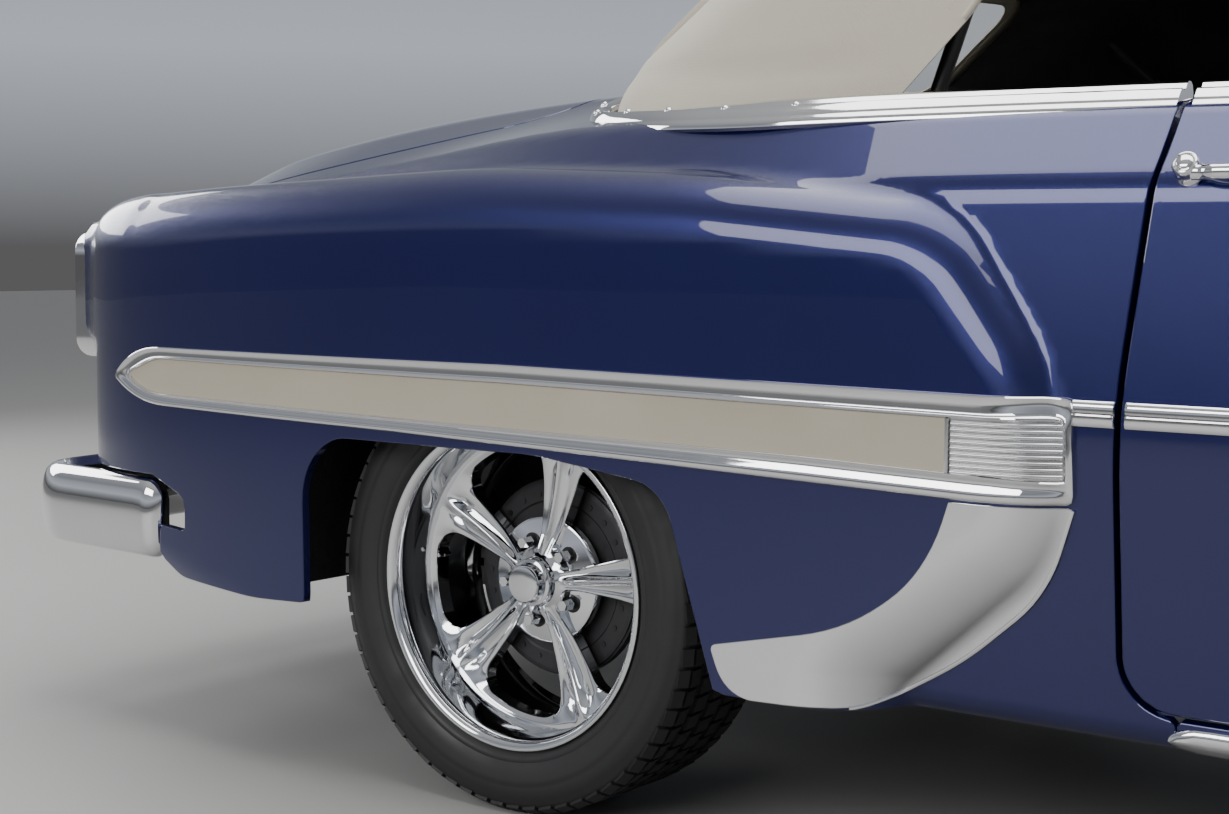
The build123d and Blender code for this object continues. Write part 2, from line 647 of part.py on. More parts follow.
# Bright metal on the body's sides
SPEAR = [(-2112, 610, 6), (-2032, 568, 310), (-1390, 560, 0), (-470, 535, 0), (-360, 536, 8),
         (-360, 661, 8), (-1200, 669, 0), (-2042, 664, 215)]
SPEAR_INSERT = [(-2066, 616, 5), (-2000, 588, 200), (-507, 568, 5), (-507, 630, 5), (-1200, 641, 0),
                (-1975, 645, 150)]
spear_proud = 9
insert_proud = 5
comb_count = 8
comb_low_z = 567
comb_pitch = 7.6
comb_slot = 3.6
comb_rear_x = -497
comb_front_x = -374
GUARD = [(-502, 533, 0), (-530, 445, 200), (-640, 362, 300), (-842, 318, 8), (-815, 251, 60),
         (-640, 257, 80), (-520, 322, 500), (-400, 425, 200), (-362, 533, 0)]
guard_proud = 3
STRIP_FRONT = 2130
strip_low_z = 629
strip_high_z = 659
strip_proud = 7
fender_proud = rear_fender(spear_proud) - whole
fender_guard = rear_fender(guard_proud) - whole
side_reach = (800, 1000)
slots = []
for i in range(comb_count):
    slot_z = comb_low_z + comb_pitch * i
    slots.append(block(comb_rear_x, comb_front_x, *side_reach, slot_z, slot_z + comb_slot))
spear = (fender_proud & side_prism(SPEAR, *side_reach)) - ([side_prism(SPEAR_INSERT, *side_reach)] + slots)
insert = (rear_fender(insert_proud) & side_prism(inset(SPEAR_INSERT, seam), *side_reach)) - whole
save("spear_inserts", insert, mirrored(insert))
guard = fender_guard & side_prism(GUARD, 700, 1000)
save("stone_guards", guard, mirrored(guard))

body_proud = envelope(strip_proud) - outer
strip = body_proud & block(-370, STRIP_FRONT, 700, 1100, strip_low_z, strip_high_z)
door_strip = strip & block(door_rear_x + 6, door_front_x - 14, 700, 1100, 0, 1000)
fender_strip = strip & block(door_front_x + shut_gap + 8, STRIP_FRONT, 700, 1100, 0, 1000)
stub = (strip & block(-364, door_rear_x - shut_gap, 700, 1100, 0, 1000)) - whole
spear = spear + stub
cockpit_outline = mirror_half(COCKPIT)
# The belt ends ahead of the trunk lid, whose front edge swings forward as it opens
belt_rear_x = -1452
belt_zone = plan_prism(inset(cockpit_outline, -56), 985, 1200)
belt_zone = belt_zone - plan_prism(inset(cockpit_outline, -3), 900, 1400)
belt = body_proud & (belt_zone & block(-1700, door_front_x, -900, 900, 985, 1200))
rear_belt = belt & block(belt_rear_x, door_top_rear_x - shut_gap - 2, -900, 900, 0, 1300)
door_belt = belt & block(door_top_rear_x + 8, door_front_x - 14, 738, 900, 0, 1300)
save("belt_moulding", rear_belt)
rocker_strip = body_proud & block(door_rear_x + 51, 1240, 700, 1100, sill_z + 4, sill_z + 36)
save("side_mouldings", spear, mirrored(spear), fender_strip, mirrored(fender_strip),
     rocker_strip, mirrored(rocker_strip))

handle_x = -242
handle_z = 918
handle_length = 154
button_radius = 15
handle = rounded_block(handle_x + 8, handle_x + handle_length, 920, 934, handle_z - 8, handle_z + 8, 6)
handle = handle + across(handle_x, handle_z, button_radius, 860, 934)
handle = handle + across(handle_x + handle_length - 20, handle_z, 9, 860, 926)
handle = handle - whole
save("door_left_trim", door_strip, door_belt, handle)
save("door_right_trim", mirrored(door_strip), mirrored(door_belt), mirrored(handle))

# Nose: grille, lamps
grille_rear_x = 2262
grille_front_x = 2352
grille_rim = 20
grille_oval = mirror_half_section(grille_outline)
grille = front_prism(inset(grille_oval, seam), grille_rear_x, grille_front_x)
grille = grille - front_prism(inset(grille_oval, grille_rim), grille_rear_x - 10, grille_front_x + 10)
bar_half_height = 22
grille = grille + rounded_block(grille_rear_x + 20, grille_front_x + 20, -grille_half + 8, grille_half - 8,
                                grille_z - bar_half_height, grille_z + bar_half_height, 12)
for y in (-300, -150, 0, 150, 300):
    grille = grille + rounded_block(grille_rear_x + 16, grille_front_x + 26, y - 20, y + 20,
                                    grille_z - 92, grille_z + 92, 12)
park_y = 515
park_radius = 58
park_front_x = 2338
for y in (-park_y, park_y):
    grille = grille + lengthways(y, grille_z, park_radius, grille_rear_x + 30, park_front_x)
    grille = grille - lengthways(y, grille_z, park_radius - 8, park_front_x - 10, park_front_x + 100)
front_cut = plan_prism(mirror_half([(2392, 250, 700), (2318, 640, 60), (2200, 700, 0)]), 0, 1500)
grille = grille & front_cut
save("grille", grille)

lamp_front_x = 2312
bezel = lengthways(lamp_y, lamp_z, lamp_radius, lamp_face_x + seam, lamp_front_x)
bezel = bezel - lengthways(lamp_y, lamp_z, lens_radius, lamp_face_x + 20, lamp_front_x + 10)
bezel = chamfer(bezel.edges().filter_by(GeomType.CIRCLE).group_by(Axis.X)[-1].sort_by(SortBy.LENGTH)[-1], 10)
dome_radius = 230
dome = Pos(lamp_front_x + 4 - dome_radius, lamp_y, lamp_z) * Sphere(dome_radius)
lens = dome & lengthways(lamp_y, lamp_z, lens_radius - seam, lamp_face_x + 20 + seam, lamp_front_x + 50)
park_lens = lengthways(park_y, grille_z, park_radius - 8 - seam, park_front_x - 10 + seam, park_front_x + 6)
save("head_lenses", lens, mirrored(lens), park_lens, mirrored(park_lens))

tail_y = 740
tail_z = 742
tail_half_width = 39
tail_half_height = 113
tail_radius = 36
tail_outline = [(tail_y - tail_half_width, tail_z - tail_half_height, tail_radius),
                (tail_y + tail_half_width, tail_z - tail_half_height, tail_radius),
                (tail_y + tail_half_width, tail_z + tail_half_height, tail_radius),
                (tail_y - tail_half_width, tail_z + tail_half_height, tail_radius)]
tail_rear_x = -2344
tail_case = front_prism(tail_outline, tail_rear_x, -2300) - whole
tail_lens_hole = front_prism(inset(tail_outline, 9), tail_rear_x - 10, tail_rear_x + 12)
tail_case = tail_case - tail_lens_hole
tail_lens = front_prism(inset(tail_outline, 9 + seam), tail_rear_x - 6, tail_rear_x + 12)
save("lamp_bezels", bezel, mirrored(bezel), tail_case, mirrored(tail_case))
save("tail_lenses", tail_lens, mirrored(tail_lens))

# Bumpers
BARREL = [(-1, 27), (-0.92, 17), (-0.62, 5), (0, 0), (0.62, 5), (0.92, 17), (1, 27)]


def bumper(plan, middle_z, end_x):
    """A bar of barrel section that wraps round the corners, hollow behind, with rounded ends."""
    low, high = middle_z - bumper_half_height, middle_z + bumper_half_height
    form = crowned(plan, [(middle_z + t * bumper_half_height, by) for t, by in BARREL])
    form = form - plan_prism(inset(plan, bumper_thick), low - 10, high + 10)
    far_x = 2600 if end_x > 0 else -2600
    ends = [(far_x, low - 10, 0), (end_x, low, bumper_end_radius), (end_x, high, bumper_end_radius),
            (far_x, high + 10, 0)]
    return form & side_prism(ends, -1100, 1100)


front_bumper = bumper(front_closed, front_bumper_z, front_bumper_end_x)
rear_bumper = bumper(rear_closed, rear_bumper_z, rear_bumper_end_x)
guard_y = 400
front_guard = rounded_block(2440, length / 2, guard_y - 32, guard_y + 32, 315, 590, 14)
rear_guard = rounded_block(-length / 2, -2440, guard_y - 32, guard_y + 32, 275, 570, 14)
front_bumper = front_bumper + both(front_guard)
rear_bumper = rear_bumper + both(rear_guard)
save("front_bumper", front_bumper)
save("rear_bumper", rear_bumper)

# Inside
front_seat = rounded_block(-330, 190, -695, 695, 420, 600, 45)
for base in both(block(-280, 150, 110, 600, floor_z + floor_thick, 440)):
    front_seat = front_seat + base
seat_back = side_prism([(-340, 500, 20), (-200, 500, 20), (-296, 1000, 40), (-396, 1000, 40)], -695, 695)
front_seat = front_seat + seat_back
save("front_seat", front_seat)
rear_seat = rounded_block(-1080, -600, -588, 588, 420, 560, 40)
rear_back = [(-1120, 430, 0), (-985, 430, 0), (-1050, 962, 30), (-1120, 962, 0)]
rear_seat = rear_seat + side_prism(rear_back, -588, 588)
for base in both(block(-1060, -640, 110, 560, floor_z + floor_thick, 440)):
    rear_seat = rear_seat + base
save("rear_seat", rear_seat)

dashboard = rounded_block(640, cabin_panel_x, -700, 700, 862, 985, 22)
wheel_y = 370
cluster = Pos(648, wheel_y, 930) * Rot(0, 90, 0) * Cylinder(62, 60)
dashboard = dashboard + (cluster & block(560, cabin_panel_x, -700, 700, 800, 985))
dashboard = dashboard & block(560, cabin_panel_x, -710, 710, 800, 1000)
save("dashboard", dashboard)

column_top = Vector(418, wheel_y, 921)
column_foot = Vector(firewall_x - wall, wheel_y, 560)
column_axis = (column_top - column_foot).normalized()
column = bar(column_top, column_foot - column_axis * 60, 20) & block(0, firewall_x - wall, 0, 900, 400, 1200)
column = column + bar(column_top, column_top + column_axis * 34, 10)
column = column + block(660, 700, wheel_y - 15, wheel_y + 15, 790, 862)
save("steering_column", column)

steering_plane = Plane(origin=column_top + column_axis * 4, x_dir=(0, 1, 0), z_dir=column_axis)
rim_radius = 208
tube = Plane(origin=(rim_radius, 0, 40), x_dir=(1, 0, 0), z_dir=(0, -1, 0))
rim_third = revolve(Face(Wire(Edge.make_circle(11, tube))), axis=Axis.Z, revolution_arc=120)
steering_wheel = Pos(0, 0, 24) * Cylinder(44, 48)
for angle in (-90, 30, 150):
    start = (30 * cos(radians(angle)), 30 * sin(radians(angle)), 26)
    end = (rim_radius * cos(radians(angle)), rim_radius * sin(radians(angle)), 40)
    steering_wheel = steering_wheel + bar(start, end, 8)
for angle in (30, 150, 270):
    steering_wheel = steering_wheel + Rot(0, 0, angle) * rim_third
steering_wheel = steering_wheel - Pos(0, 0, 10) * Cylinder(10 + stub_clearance, 44)
steering_wheel = steering_plane.location * steering_wheel
save("steering_wheel", steering_wheel)

# Under the body
engine = rounded_block(1190, 1850, -235, 235, engine_bottom_z, 835, 25)
save("engine", engine)
radiator = block(2085, 2135, -300, 300, 340, 800)
for foot in both(block(2120, 2135, 250, 300, 282, 345)):
    radiator = radiator + foot
save("radiator", radiator)
pipe_y = 272
pipe_radius = 20
exhaust = pipe([(1280, pipe_y, 470), (1280, pipe_y, 208), (-2400, pipe_y, 208)], pipe_radius, 60)
exhaust = exhaust + lengthways(pipe_y, 248, 48, -480, 180)
exhaust = exhaust + across(1280, 440, 16, 235, pipe_y)
save("exhaust", exhaust)
shaft_z = 345
axle_tube = across(rear_axle_x, tyre_radius, 38, -711, 711)
rear_axle = merge([axle_tube, Pos(rear_axle_x, 0, tyre_radius) * Sphere(105),
                   across(rear_axle_x, tyre_radius, stub_radius, -767, 767),
                   lengthways(0, shaft_z, 30, rear_axle_x, 1190)])
for plate in both(across(rear_axle_x, tyre_radius, 134, 711, 715)):
    rear_axle = rear_axle + plate
save("rear_axle", rear_axle)
leaf = side_prism([(spring_rear_x, 284, 0), (rear_axle_x, 258, 3000), (spring_front_x, 284, 0),
                   (spring_front_x, 300, 0), (rear_axle_x, 292, 3000), (spring_rear_x, 300, 0)],
                  spring_y - 30, spring_y + 30)
leaf = leaf + block(rear_axle_x - 45, rear_axle_x + 45, spring_y - 30, spring_y + 30, 270, 318)
leaf = leaf - axle_tube
save("rear_springs", leaf, mirrored(leaf))

kingpin_y = 660
pin_radius = 14
low_arm_z = 238
high_arm_z = 424
arm_thick = 16
arm_boss_radius = 19
arms = []
for z, spread in ((low_arm_z, 105), (high_arm_z, 40)):
    outline = [(front_axle_x - spread, rail_outer, 0), (front_axle_x - 24, kingpin_y, 20),
               (front_axle_x + 24, kingpin_y, 20), (front_axle_x + spread, rail_outer, 0)]
    arm = plan_prism(outline, z, z + arm_thick)
    arm = arm + Pos(front_axle_x, kingpin_y, z + arm_thick / 2) * Cylinder(arm_boss_radius, arm_thick)
    arms.append(arm - Pos(front_axle_x, kingpin_y, z) * Cylinder(pin_radius + stub_clearance, 100))
coil_height = high_arm_z - low_arm_z - arm_thick
coil = Pos(front_axle_x, 500, high_arm_z - coil_height / 2) * Cylinder(42, coil_height)
suspension = merge([arms[0], coil, arms[1]])
save("front_suspension", suspension, mirrored(suspension))
pin_low = low_arm_z - 6
pin_high = high_arm_z + arm_thick + 6
knuckle = Pos(front_axle_x, kingpin_y, (pin_low + pin_high) / 2) * Cylinder(pin_radius, pin_high - pin_low)
body_low = low_arm_z + arm_thick + 1
body_high = high_arm_z - 1
upright = Pos(front_axle_x, kingpin_y, (body_low + body_high) / 2) * Cylinder(22, body_high - body_low)
brake_plate = across(front_axle_x, tyre_radius, 134, kingpin_y + 24, kingpin_y + 28)
knuckle = knuckle + upright + across(front_axle_x, tyre_radius, 24, kingpin_y, kingpin_y + 24) + brake_plate
knuckle = knuckle + across(front_axle_x, tyre_radius, stub_radius, kingpin_y, 740)
knuckle = knuckle + block(front_axle_x - 118, front_axle_x, kingpin_y - 9, kingpin_y + 9, 282, 298)
save("knuckle_left", knuckle)
save("knuckle_right", mirrored(knuckle))

# Wheels, made at the origin with the outer face towards +Y
def rim_profile():
    """Points of radius and y of the rim's section, from the outer lip to the inner one and back."""
    outside = [(rim_lip_radius, rim_half), (rim_lip_radius, rim_half - rim_lip_width),
               (bead_radius, rim_half - 11), (bead_radius - 9, rim_half - 23), (rim_well_radius, rim_well_half)]
    inside = [(bead_radius - 2, rim_half), (bead_radius - 10, rim_half - 5),
              (bead_radius - 9 - rim_wall, rim_half - 23), (rim_well_radius - rim_wall, rim_well_half)]
    return (outside + [(r, -y) for r, y in reversed(outside)]
            + [(r, -y) for r, y in inside] + list(reversed(inside)))


def tyre_profile():
    bead = [(bead_radius - 8.5, rim_half - 23.6), (bead_radius + 0.4, rim_half - 11.6),
            (rim_lip_radius + 0.4, rim_half - rim_lip_width - 0.5)]
    side = [(rim_lip_radius + 20, tyre_half - 4), (tyre_radius - 45, tyre_half),
            (tyre_radius - 15, tyre_half - 7), (tyre_radius, tread_half)]
    outside = bead + side
    inside = [(bead_radius - 8.5, rim_half - 37), (bead_radius + 7, rim_half - 25),
              (tyre_radius - 60, tyre_half - tyre_wall - 2), (tyre_radius - 27, tyre_half - tyre_wall - 6),
              (tyre_radius - 13, tread_half - 8)]
    return (outside + [(r, -y) for r, y in reversed(outside)]
            + [(r, -y) for r, y in inside] + list(reversed(inside)))


spoke_foot_radius = rim_well_radius - 5
SPOKE_BAND = [(20, spoke_inner_y - 10), (20, spoke_outer_y - 10), (110, spoke_outer_y - 16),
              (spoke_foot_radius, spoke_outer_y), (spoke_foot_radius, spoke_inner_y), (110, spoke_inner_y - 10)]


def turned(profile):
    """A solid of revolution about y from points of radius and y."""
    face = Face(Wire.make_polygon([(r, y, 0) for r, y in profile], close=True))
    return revolve(face, axis=Axis.Y)


def wheel_rim():
    outline = [(-33, 0, 0), (-27, 0, 120), (-40, 0, 215), (40, 0, 215), (27, 0, 120), (33, 0, 0)]
    spoke = extrude(Face(Wire.make_polygon(outline, close=True)), amount=150, dir=(0, 1, 0))
    spokes = merge([Rot(0, 360 / spoke_count * i, 0) * spoke for i in range(spoke_count)])
    rim = turned(rim_profile()) + (turned(SPOKE_BAND) & spokes)
    rim = rim + across(0, 0, 112, 25, 34) + across(0, 0, 78, 30, 62) + across(0, 0, hub_cap_radius, 60, 92)
    for i in range(lug_count):
        angle = 2 * pi * (i + 0.5) / lug_count
        rim = rim + across(lug_circle_radius * sin(angle), lug_circle_radius * cos(angle), lug_radius, 60, 72)
    return rim


def wheel_drum():
    drum = across(0, 0, drum_radius, -38, 25) - across(0, 0, drum_radius - drum_wall, -40, 17)
    drum = drum + across(0, 0, 34, -28, 20)
    return drum - across(0, 0, stub_radius + stub_clearance, -40, 22)


rim = wheel_rim()
tyre = turned(tyre_profile())
drum = wheel_drum()
for end, axle_x, track in (("front", front_axle_x, front_track), ("rear", rear_axle_x, rear_track)):
    place = Pos(axle_x, track / 2, tyre_radius)
    for piece, shape in (("rim", rim), ("tyre", tyre), ("drum", drum)):
        left = place * shape
        save("wheel_" + end + "_left_" + piece, left)
        save("wheel_" + end + "_right_" + piece, mirrored(left))
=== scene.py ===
# %% [markdown]
# # A two-door convertible of the early 1950s
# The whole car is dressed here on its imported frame: pressed steel panels in dark pearl blue, a beige fabric
# top stretched over bows, polished mouldings, and modern cast wheels. Every piece is built in the frame's
# own metres, so it can ride on its rigid body without being moved.

# %% Tools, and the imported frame
import math
import bmesh
import bpy
import numpy as np
from mathutils import Matrix, Vector


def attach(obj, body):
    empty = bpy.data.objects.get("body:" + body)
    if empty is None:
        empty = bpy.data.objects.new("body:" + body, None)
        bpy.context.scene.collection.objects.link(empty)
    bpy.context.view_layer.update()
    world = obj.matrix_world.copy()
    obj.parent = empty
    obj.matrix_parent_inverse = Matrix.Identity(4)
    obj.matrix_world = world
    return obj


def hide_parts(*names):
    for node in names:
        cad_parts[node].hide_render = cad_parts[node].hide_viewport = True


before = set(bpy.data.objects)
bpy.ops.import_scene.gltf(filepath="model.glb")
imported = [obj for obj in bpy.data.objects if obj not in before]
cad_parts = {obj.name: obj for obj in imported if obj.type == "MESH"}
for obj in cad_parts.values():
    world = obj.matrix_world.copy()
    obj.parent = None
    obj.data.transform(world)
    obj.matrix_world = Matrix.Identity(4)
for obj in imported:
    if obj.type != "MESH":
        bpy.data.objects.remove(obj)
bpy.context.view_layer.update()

# %% [markdown]
# # The body's form
# A pressed body is one smooth form cut into panels. Its cross-sections come from a short table of corner
# points and radii, and cubic curves carry each column from nose to tail, as a lofting draughtsman's battens
# did. Columns: station x; half width and height of the bulge; y, z, radius of the shoulder; y, z, radius of
# the belt or valley; y and radius of the crown's edge; height on the centre line. All in millimetres.

# %% Sections of the body
BODY_SECTIONS = np.array([
    (-2345, 610, 600, 590, 715, 50, 545, 745, 50, 300, 150, 775),
    (-2310, 645, 600, 625, 775, 55, 565, 830, 55, 318, 165, 893),
    (-2230, 690, 600, 660, 820, 60, 590, 895, 60, 365, 210, 983),
    (-2100, 720, 600, 690, 850, 60, 612, 920, 60, 372, 270, 1016),
    (-1900, 760, 600, 720, 870, 60, 632, 942, 60, 355, 400, 1053),
    (-1600, 800, 600, 765, 893, 60, 662, 972, 60, 350, 400, 1082),
    (-1300, 850, 600, 822, 903, 60, 722, 1000, 60, 345, 400, 1096),
    (-900, 884, 600, 864, 908, 60, 780, 1006, 50, 400, 400, 1090),
    (-280, 894, 600, 876, 908, 60, 800, 1002, 40, 450, 400, 1060),
    (400, 897, 600, 879, 906, 60, 800, 1000, 40, 450, 400, 1045),
    (900, 902, 600, 883, 905, 70, 780, 998, 60, 450, 300, 1050),
    (1250, 917, 600, 894, 918, 100, 660, 972, 80, 450, 200, 1048),
    (1663, 930, 600, 905, 935, 130, 565, 920, 80, 420, 120, 1030),
    (2000, 917, 600, 892, 925, 130, 525, 885, 80, 370, 120, 995),
    (2200, 885, 600, 860, 905, 120, 495, 845, 70, 330, 110, 942),
    (2290, 855, 600, 830, 885, 110, 475, 800, 60, 310, 90, 880),
    (2345, 830, 600, 805, 862, 100, 460, 735, 50, 290, 70, 795),
]) / 1000
SILL_TUCK, SILL_Z, SILL_R, BULGE_R = 0.048, 0.250, 0.040, 0.500
FAR = 3.0
CORE = np.array([0.6, 0.6])
NOSE = [(2338, 300, 700), (2262, 822, 120), (1850, 1020, 0)]
TAIL = [(-1850, 1018, 0), (-2272, 700, 90), (-2334, 400, 500)]
EDGE_R = 0.045


class Curve:
    """Natural cubic curves through the rows of a table, one for each column, over its first column."""

    def __init__(self, table):
        self.x, self.rows = table[:, 0], table[:, 1:]
        n, h = len(self.x), np.diff(self.x)
        a, b = np.eye(n), np.zeros_like(self.rows)
        for i in range(1, n - 1):
            a[i, i - 1:i + 2] = h[i - 1], 2 * (h[i - 1] + h[i]), h[i]
            b[i] = 6 * ((self.rows[i + 1] - self.rows[i]) / h[i] - (self.rows[i] - self.rows[i - 1]) / h[i - 1])
        self.bend = np.linalg.solve(a, b)

    def __call__(self, x):
        x = np.clip(np.atleast_1d(x), self.x[0], self.x[-1])
        i = np.clip(np.searchsorted(self.x, x) - 1, 0, len(self.x) - 2)
        h = (self.x[i + 1] - self.x[i])[:, None]
        t = (x - self.x[i])[:, None] / h
        s = 1 - t
        return (self.rows[i] * s + self.rows[i + 1] * t
                + h * h / 6 * ((s ** 3 - s) * self.bend[i] + (t ** 3 - t) * self.bend[i + 1]))


def cross(a, b):
    return a[..., 0] * b[..., 1] - a[..., 1] * b[..., 0]


body_rows = Curve(BODY_SECTIONS)


def section_corners(x):
    """Corner points and radii of the body's left half section at each x, from under the sill to the middle."""
    r, zero = body_rows(x), np.zeros(len(x))
    pts = [(zero - FAR, zero + SILL_Z), (r[:, 0] - SILL_TUCK, zero + SILL_Z), (r[:, 0], r[:, 1]),
           (r[:, 2], r[:, 3]), (r[:, 5], r[:, 6]), (r[:, 8], r[:, 10]), (zero - FAR, r[:, 10])]
    radii = [zero, zero + SILL_R, zero + BULGE_R, r[:, 4], r[:, 7], r[:, 9], zero]
    return np.stack([np.stack(p, 1) for p in pts], 1), np.stack(radii, 1)


def radial(x, d):
    """How far the body's surface is from the section's core, in unit directions d of (y, z)."""
    pts, radii = section_corners(x)
    p, r = pts[:, 1:-1], radii[:, 1:-1]
    a, b = pts[:, :-2] - p, pts[:, 2:] - p
    a /= np.linalg.norm(a, axis=2)[..., None]
    b /= np.linalg.norm(b, axis=2)[..., None]
    half = np.arccos(np.clip((a * b).sum(2), -1, 1)) / 2
    reach = (r / np.tan(half))[..., None]
    start, end = p + a * reach, p + b * reach
    bis = a + b
    mid = p + bis / np.linalg.norm(bis, axis=2)[..., None] * (r / np.sin(half))[..., None] - CORE
    dd = d[:, None]
    head, foot = np.concatenate([pts[:, :1], end], 1), np.concatenate([start, pts[:, -1:]], 1)
    run = foot - head
    down = cross(dd, run)
    on_line = cross(head - CORE, run) / np.where(np.abs(down) < 1e-9, 1e-9, down)
    along = (mid * dd).sum(2)
    root = np.sqrt(np.maximum(along ** 2 - (mid * mid).sum(2) + r * r, 0))
    on_arc = along + np.where(cross(-a, b) > 0, 1, -1) * root
    past_start, past_end = cross(start - CORE, dd) > 0, cross(end - CORE, dd) > 0
    t = on_line[:, 0].copy()
    for k in range(5):
        t = np.where(past_start[:, k], on_arc[:, k], t)
        t = np.where(past_end[:, k], on_line[:, k + 1], t)
    return np.where((d[:, 0] < 0) & (np.abs(d[:, 1]) < 0.15 * -d[:, 0]), FAR, np.minimum(t, FAR))


# %% [markdown]
# # Rounded outlines
# Draughtsmen give an outline as corners with radii. These helpers turn such a list into points, and tell how
# far any point lies outside an outline.

# %% Outlines
def rounded(corners):
    """Points along a closed polygon with rounded corners of (u, v, radius), in millimetres; points in metres."""
    c, sagitta, out = np.array(corners, float) / 1000, 1.5e-4, []
    for i in range(len(c)):
        p, r = c[i, :2], c[i, 2]
        if r == 0:
            out.append(p)
            continue
        a, b = c[i - 1, :2] - p, c[(i + 1) % len(c), :2] - p
        a, b = a / np.linalg.norm(a), b / np.linalg.norm(b)
        half = math.acos(np.clip(a @ b, -1, 1)) / 2
        m = p + (a + b) / np.linalg.norm(a + b) * r / math.sin(half)
        s, e = p + a * r / math.tan(half) - m, p + b * r / math.tan(half) - m
        turn = math.atan2(s[0] * e[1] - s[1] * e[0], s @ e)
        k = max(3, math.ceil(abs(turn) / (2 * math.acos(1 - min(sagitta / r, 1)))))
        for t in np.linspace(0, turn, k + 1):
            out.append(m + (s[0] * math.cos(t) - s[1] * math.sin(t), s[0] * math.sin(t) + s[1] * math.cos(t)))
    return np.array(out)


def segment_distance(q, pts):
    """Distance from each point of q to a closed line of points."""
    best = np.full(len(q), 1e9)
    for a, b in zip(pts, np.concatenate([pts[1:], pts[:1]])):
        e = b - a
        t = np.clip(((q - a) @ e) / max(e @ e, 1e-12), 0, 1)
        best = np.minimum(best, np.hypot(q[:, 0] - a[0] - t * e[0], q[:, 1] - a[1] - t * e[1]))
    return best


def within(q, pts):
    """Whether each point of q lies in a closed outline."""
    inside = np.zeros(len(q), bool)
    for a, b in zip(pts, np.concatenate([pts[1:], pts[:1]])):
        hit = (a[1] > q[:, 1]) != (b[1] > q[:, 1])
        with np.errstate(divide="ignore", invalid="ignore"):
            inside ^= hit & (q[:, 0] < (b[0] - a[0]) * (q[:, 1] - a[1]) / (b[1] - a[1]) + a[0])
    return inside


def outside(q, pts):
    """Signed distance to a closed outline, negative inside."""
    return np.where(within(q, pts), -1, 1) * segment_distance(q, pts)


# %% [markdown]
# # The rear fender
# The rear fenders stand out from the side like pontoons, with a rounded edge all round and a soft crease where
# they meet the body. The fender is a flat-sided form whose side outline is rounded off by one edge radius, and
# it is joined to the body's form as a welder joins it, with a small fillet.

# %% Fender form
FENDER_SIDE = [(-347, 585, 150), (-390, 720, 200), (-520, 896, 170), (-900, 932, 1500), (-1300, 947, 2500),
               (-1900, 927, 2500), (-2268, 911, 45), (-2330, 800, 250), (-2330, 300, 0), (-1575, 100, 0),
               (-600, 100, 0), (-600, 265, 60), (-352, 470, 200)]
FENDER_PLAN = np.array([(-2400, 420), (-2345, 610), (-2318, 706), (-2295, 754), (-2255, 801), (-2200, 838),
                        (-2130, 865), (-2020, 888), (-1900, 902), (-1600, 921), (-1250, 930), (-900, 930),
                        (-600, 929), (-330, 922)]) / 1000
FENDER_R, FENDER_ROLL = 0.088, 0.045
CREASE = 0.012
PLAN_X = np.linspace(-2.4, -0.2, 1101)
plan_y = Curve(FENDER_PLAN)(PLAN_X)[:, 0]
plan_lean = np.cos(np.arctan(np.gradient(plan_y, PLAN_X)))
POD_END, POD_LENGTH, POD_SPLAY, POD_RISE, POD_BLEND = -2.326, 0.28, 0.305, 0.10, 0.035
pod_line = rounded([(680, 626, 38), (775, 626, 62), (775, 874, 45), (680, 874, 38)])
fender_line = rounded(FENDER_SIDE)
GRID_PITCH = 0.004
GRID_X = np.arange(-2.44, -0.24, GRID_PITCH)
GRID_Z = np.arange(0.05, 1.06, GRID_PITCH)
gx, gz = np.meshgrid(GRID_X, GRID_Z, indexing="ij")
fender_grid = outside(np.stack([gx.ravel(), gz.ravel()], 1), fender_line).reshape(gx.shape)


def on_grid(grid, x, z):
    """A grid's value at each (x, z), between its nodes."""
    i = np.clip((x - GRID_X[0]) / GRID_PITCH, 0, len(GRID_X) - 1.001)
    j = np.clip((z - GRID_Z[0]) / GRID_PITCH, 0, len(GRID_Z) - 1.001)
    a, b = i.astype(int), j.astype(int)
    u, v = i - a, j - b
    return ((grid[a, b] * (1 - u) + grid[a + 1, b] * u) * (1 - v)
            + (grid[a, b + 1] * (1 - u) + grid[a + 1, b + 1] * u) * v)


def round_and(a, b, r):
    """What two forms share, with its edge rounded to r."""
    u, v = a + r, b + r
    return np.hypot(np.maximum(u, 0), np.maximum(v, 0)) - r + np.minimum(np.maximum(u, v), 0)


def soft_or(a, b, k):
    """Two forms joined, with a fillet of about k."""
    h = np.clip(0.5 + 0.5 * (b - a) / k, 0, 1)
    return b + (a - b) * h - k * h * (1 - h)


nose_line = rounded(NOSE + [(0, 1100, 0), (0, -300, 0), (2338, -300, 0)])
tail_line = rounded(TAIL + [(-2334, -300, 0), (0, -300, 0), (0, 1100, 0)])


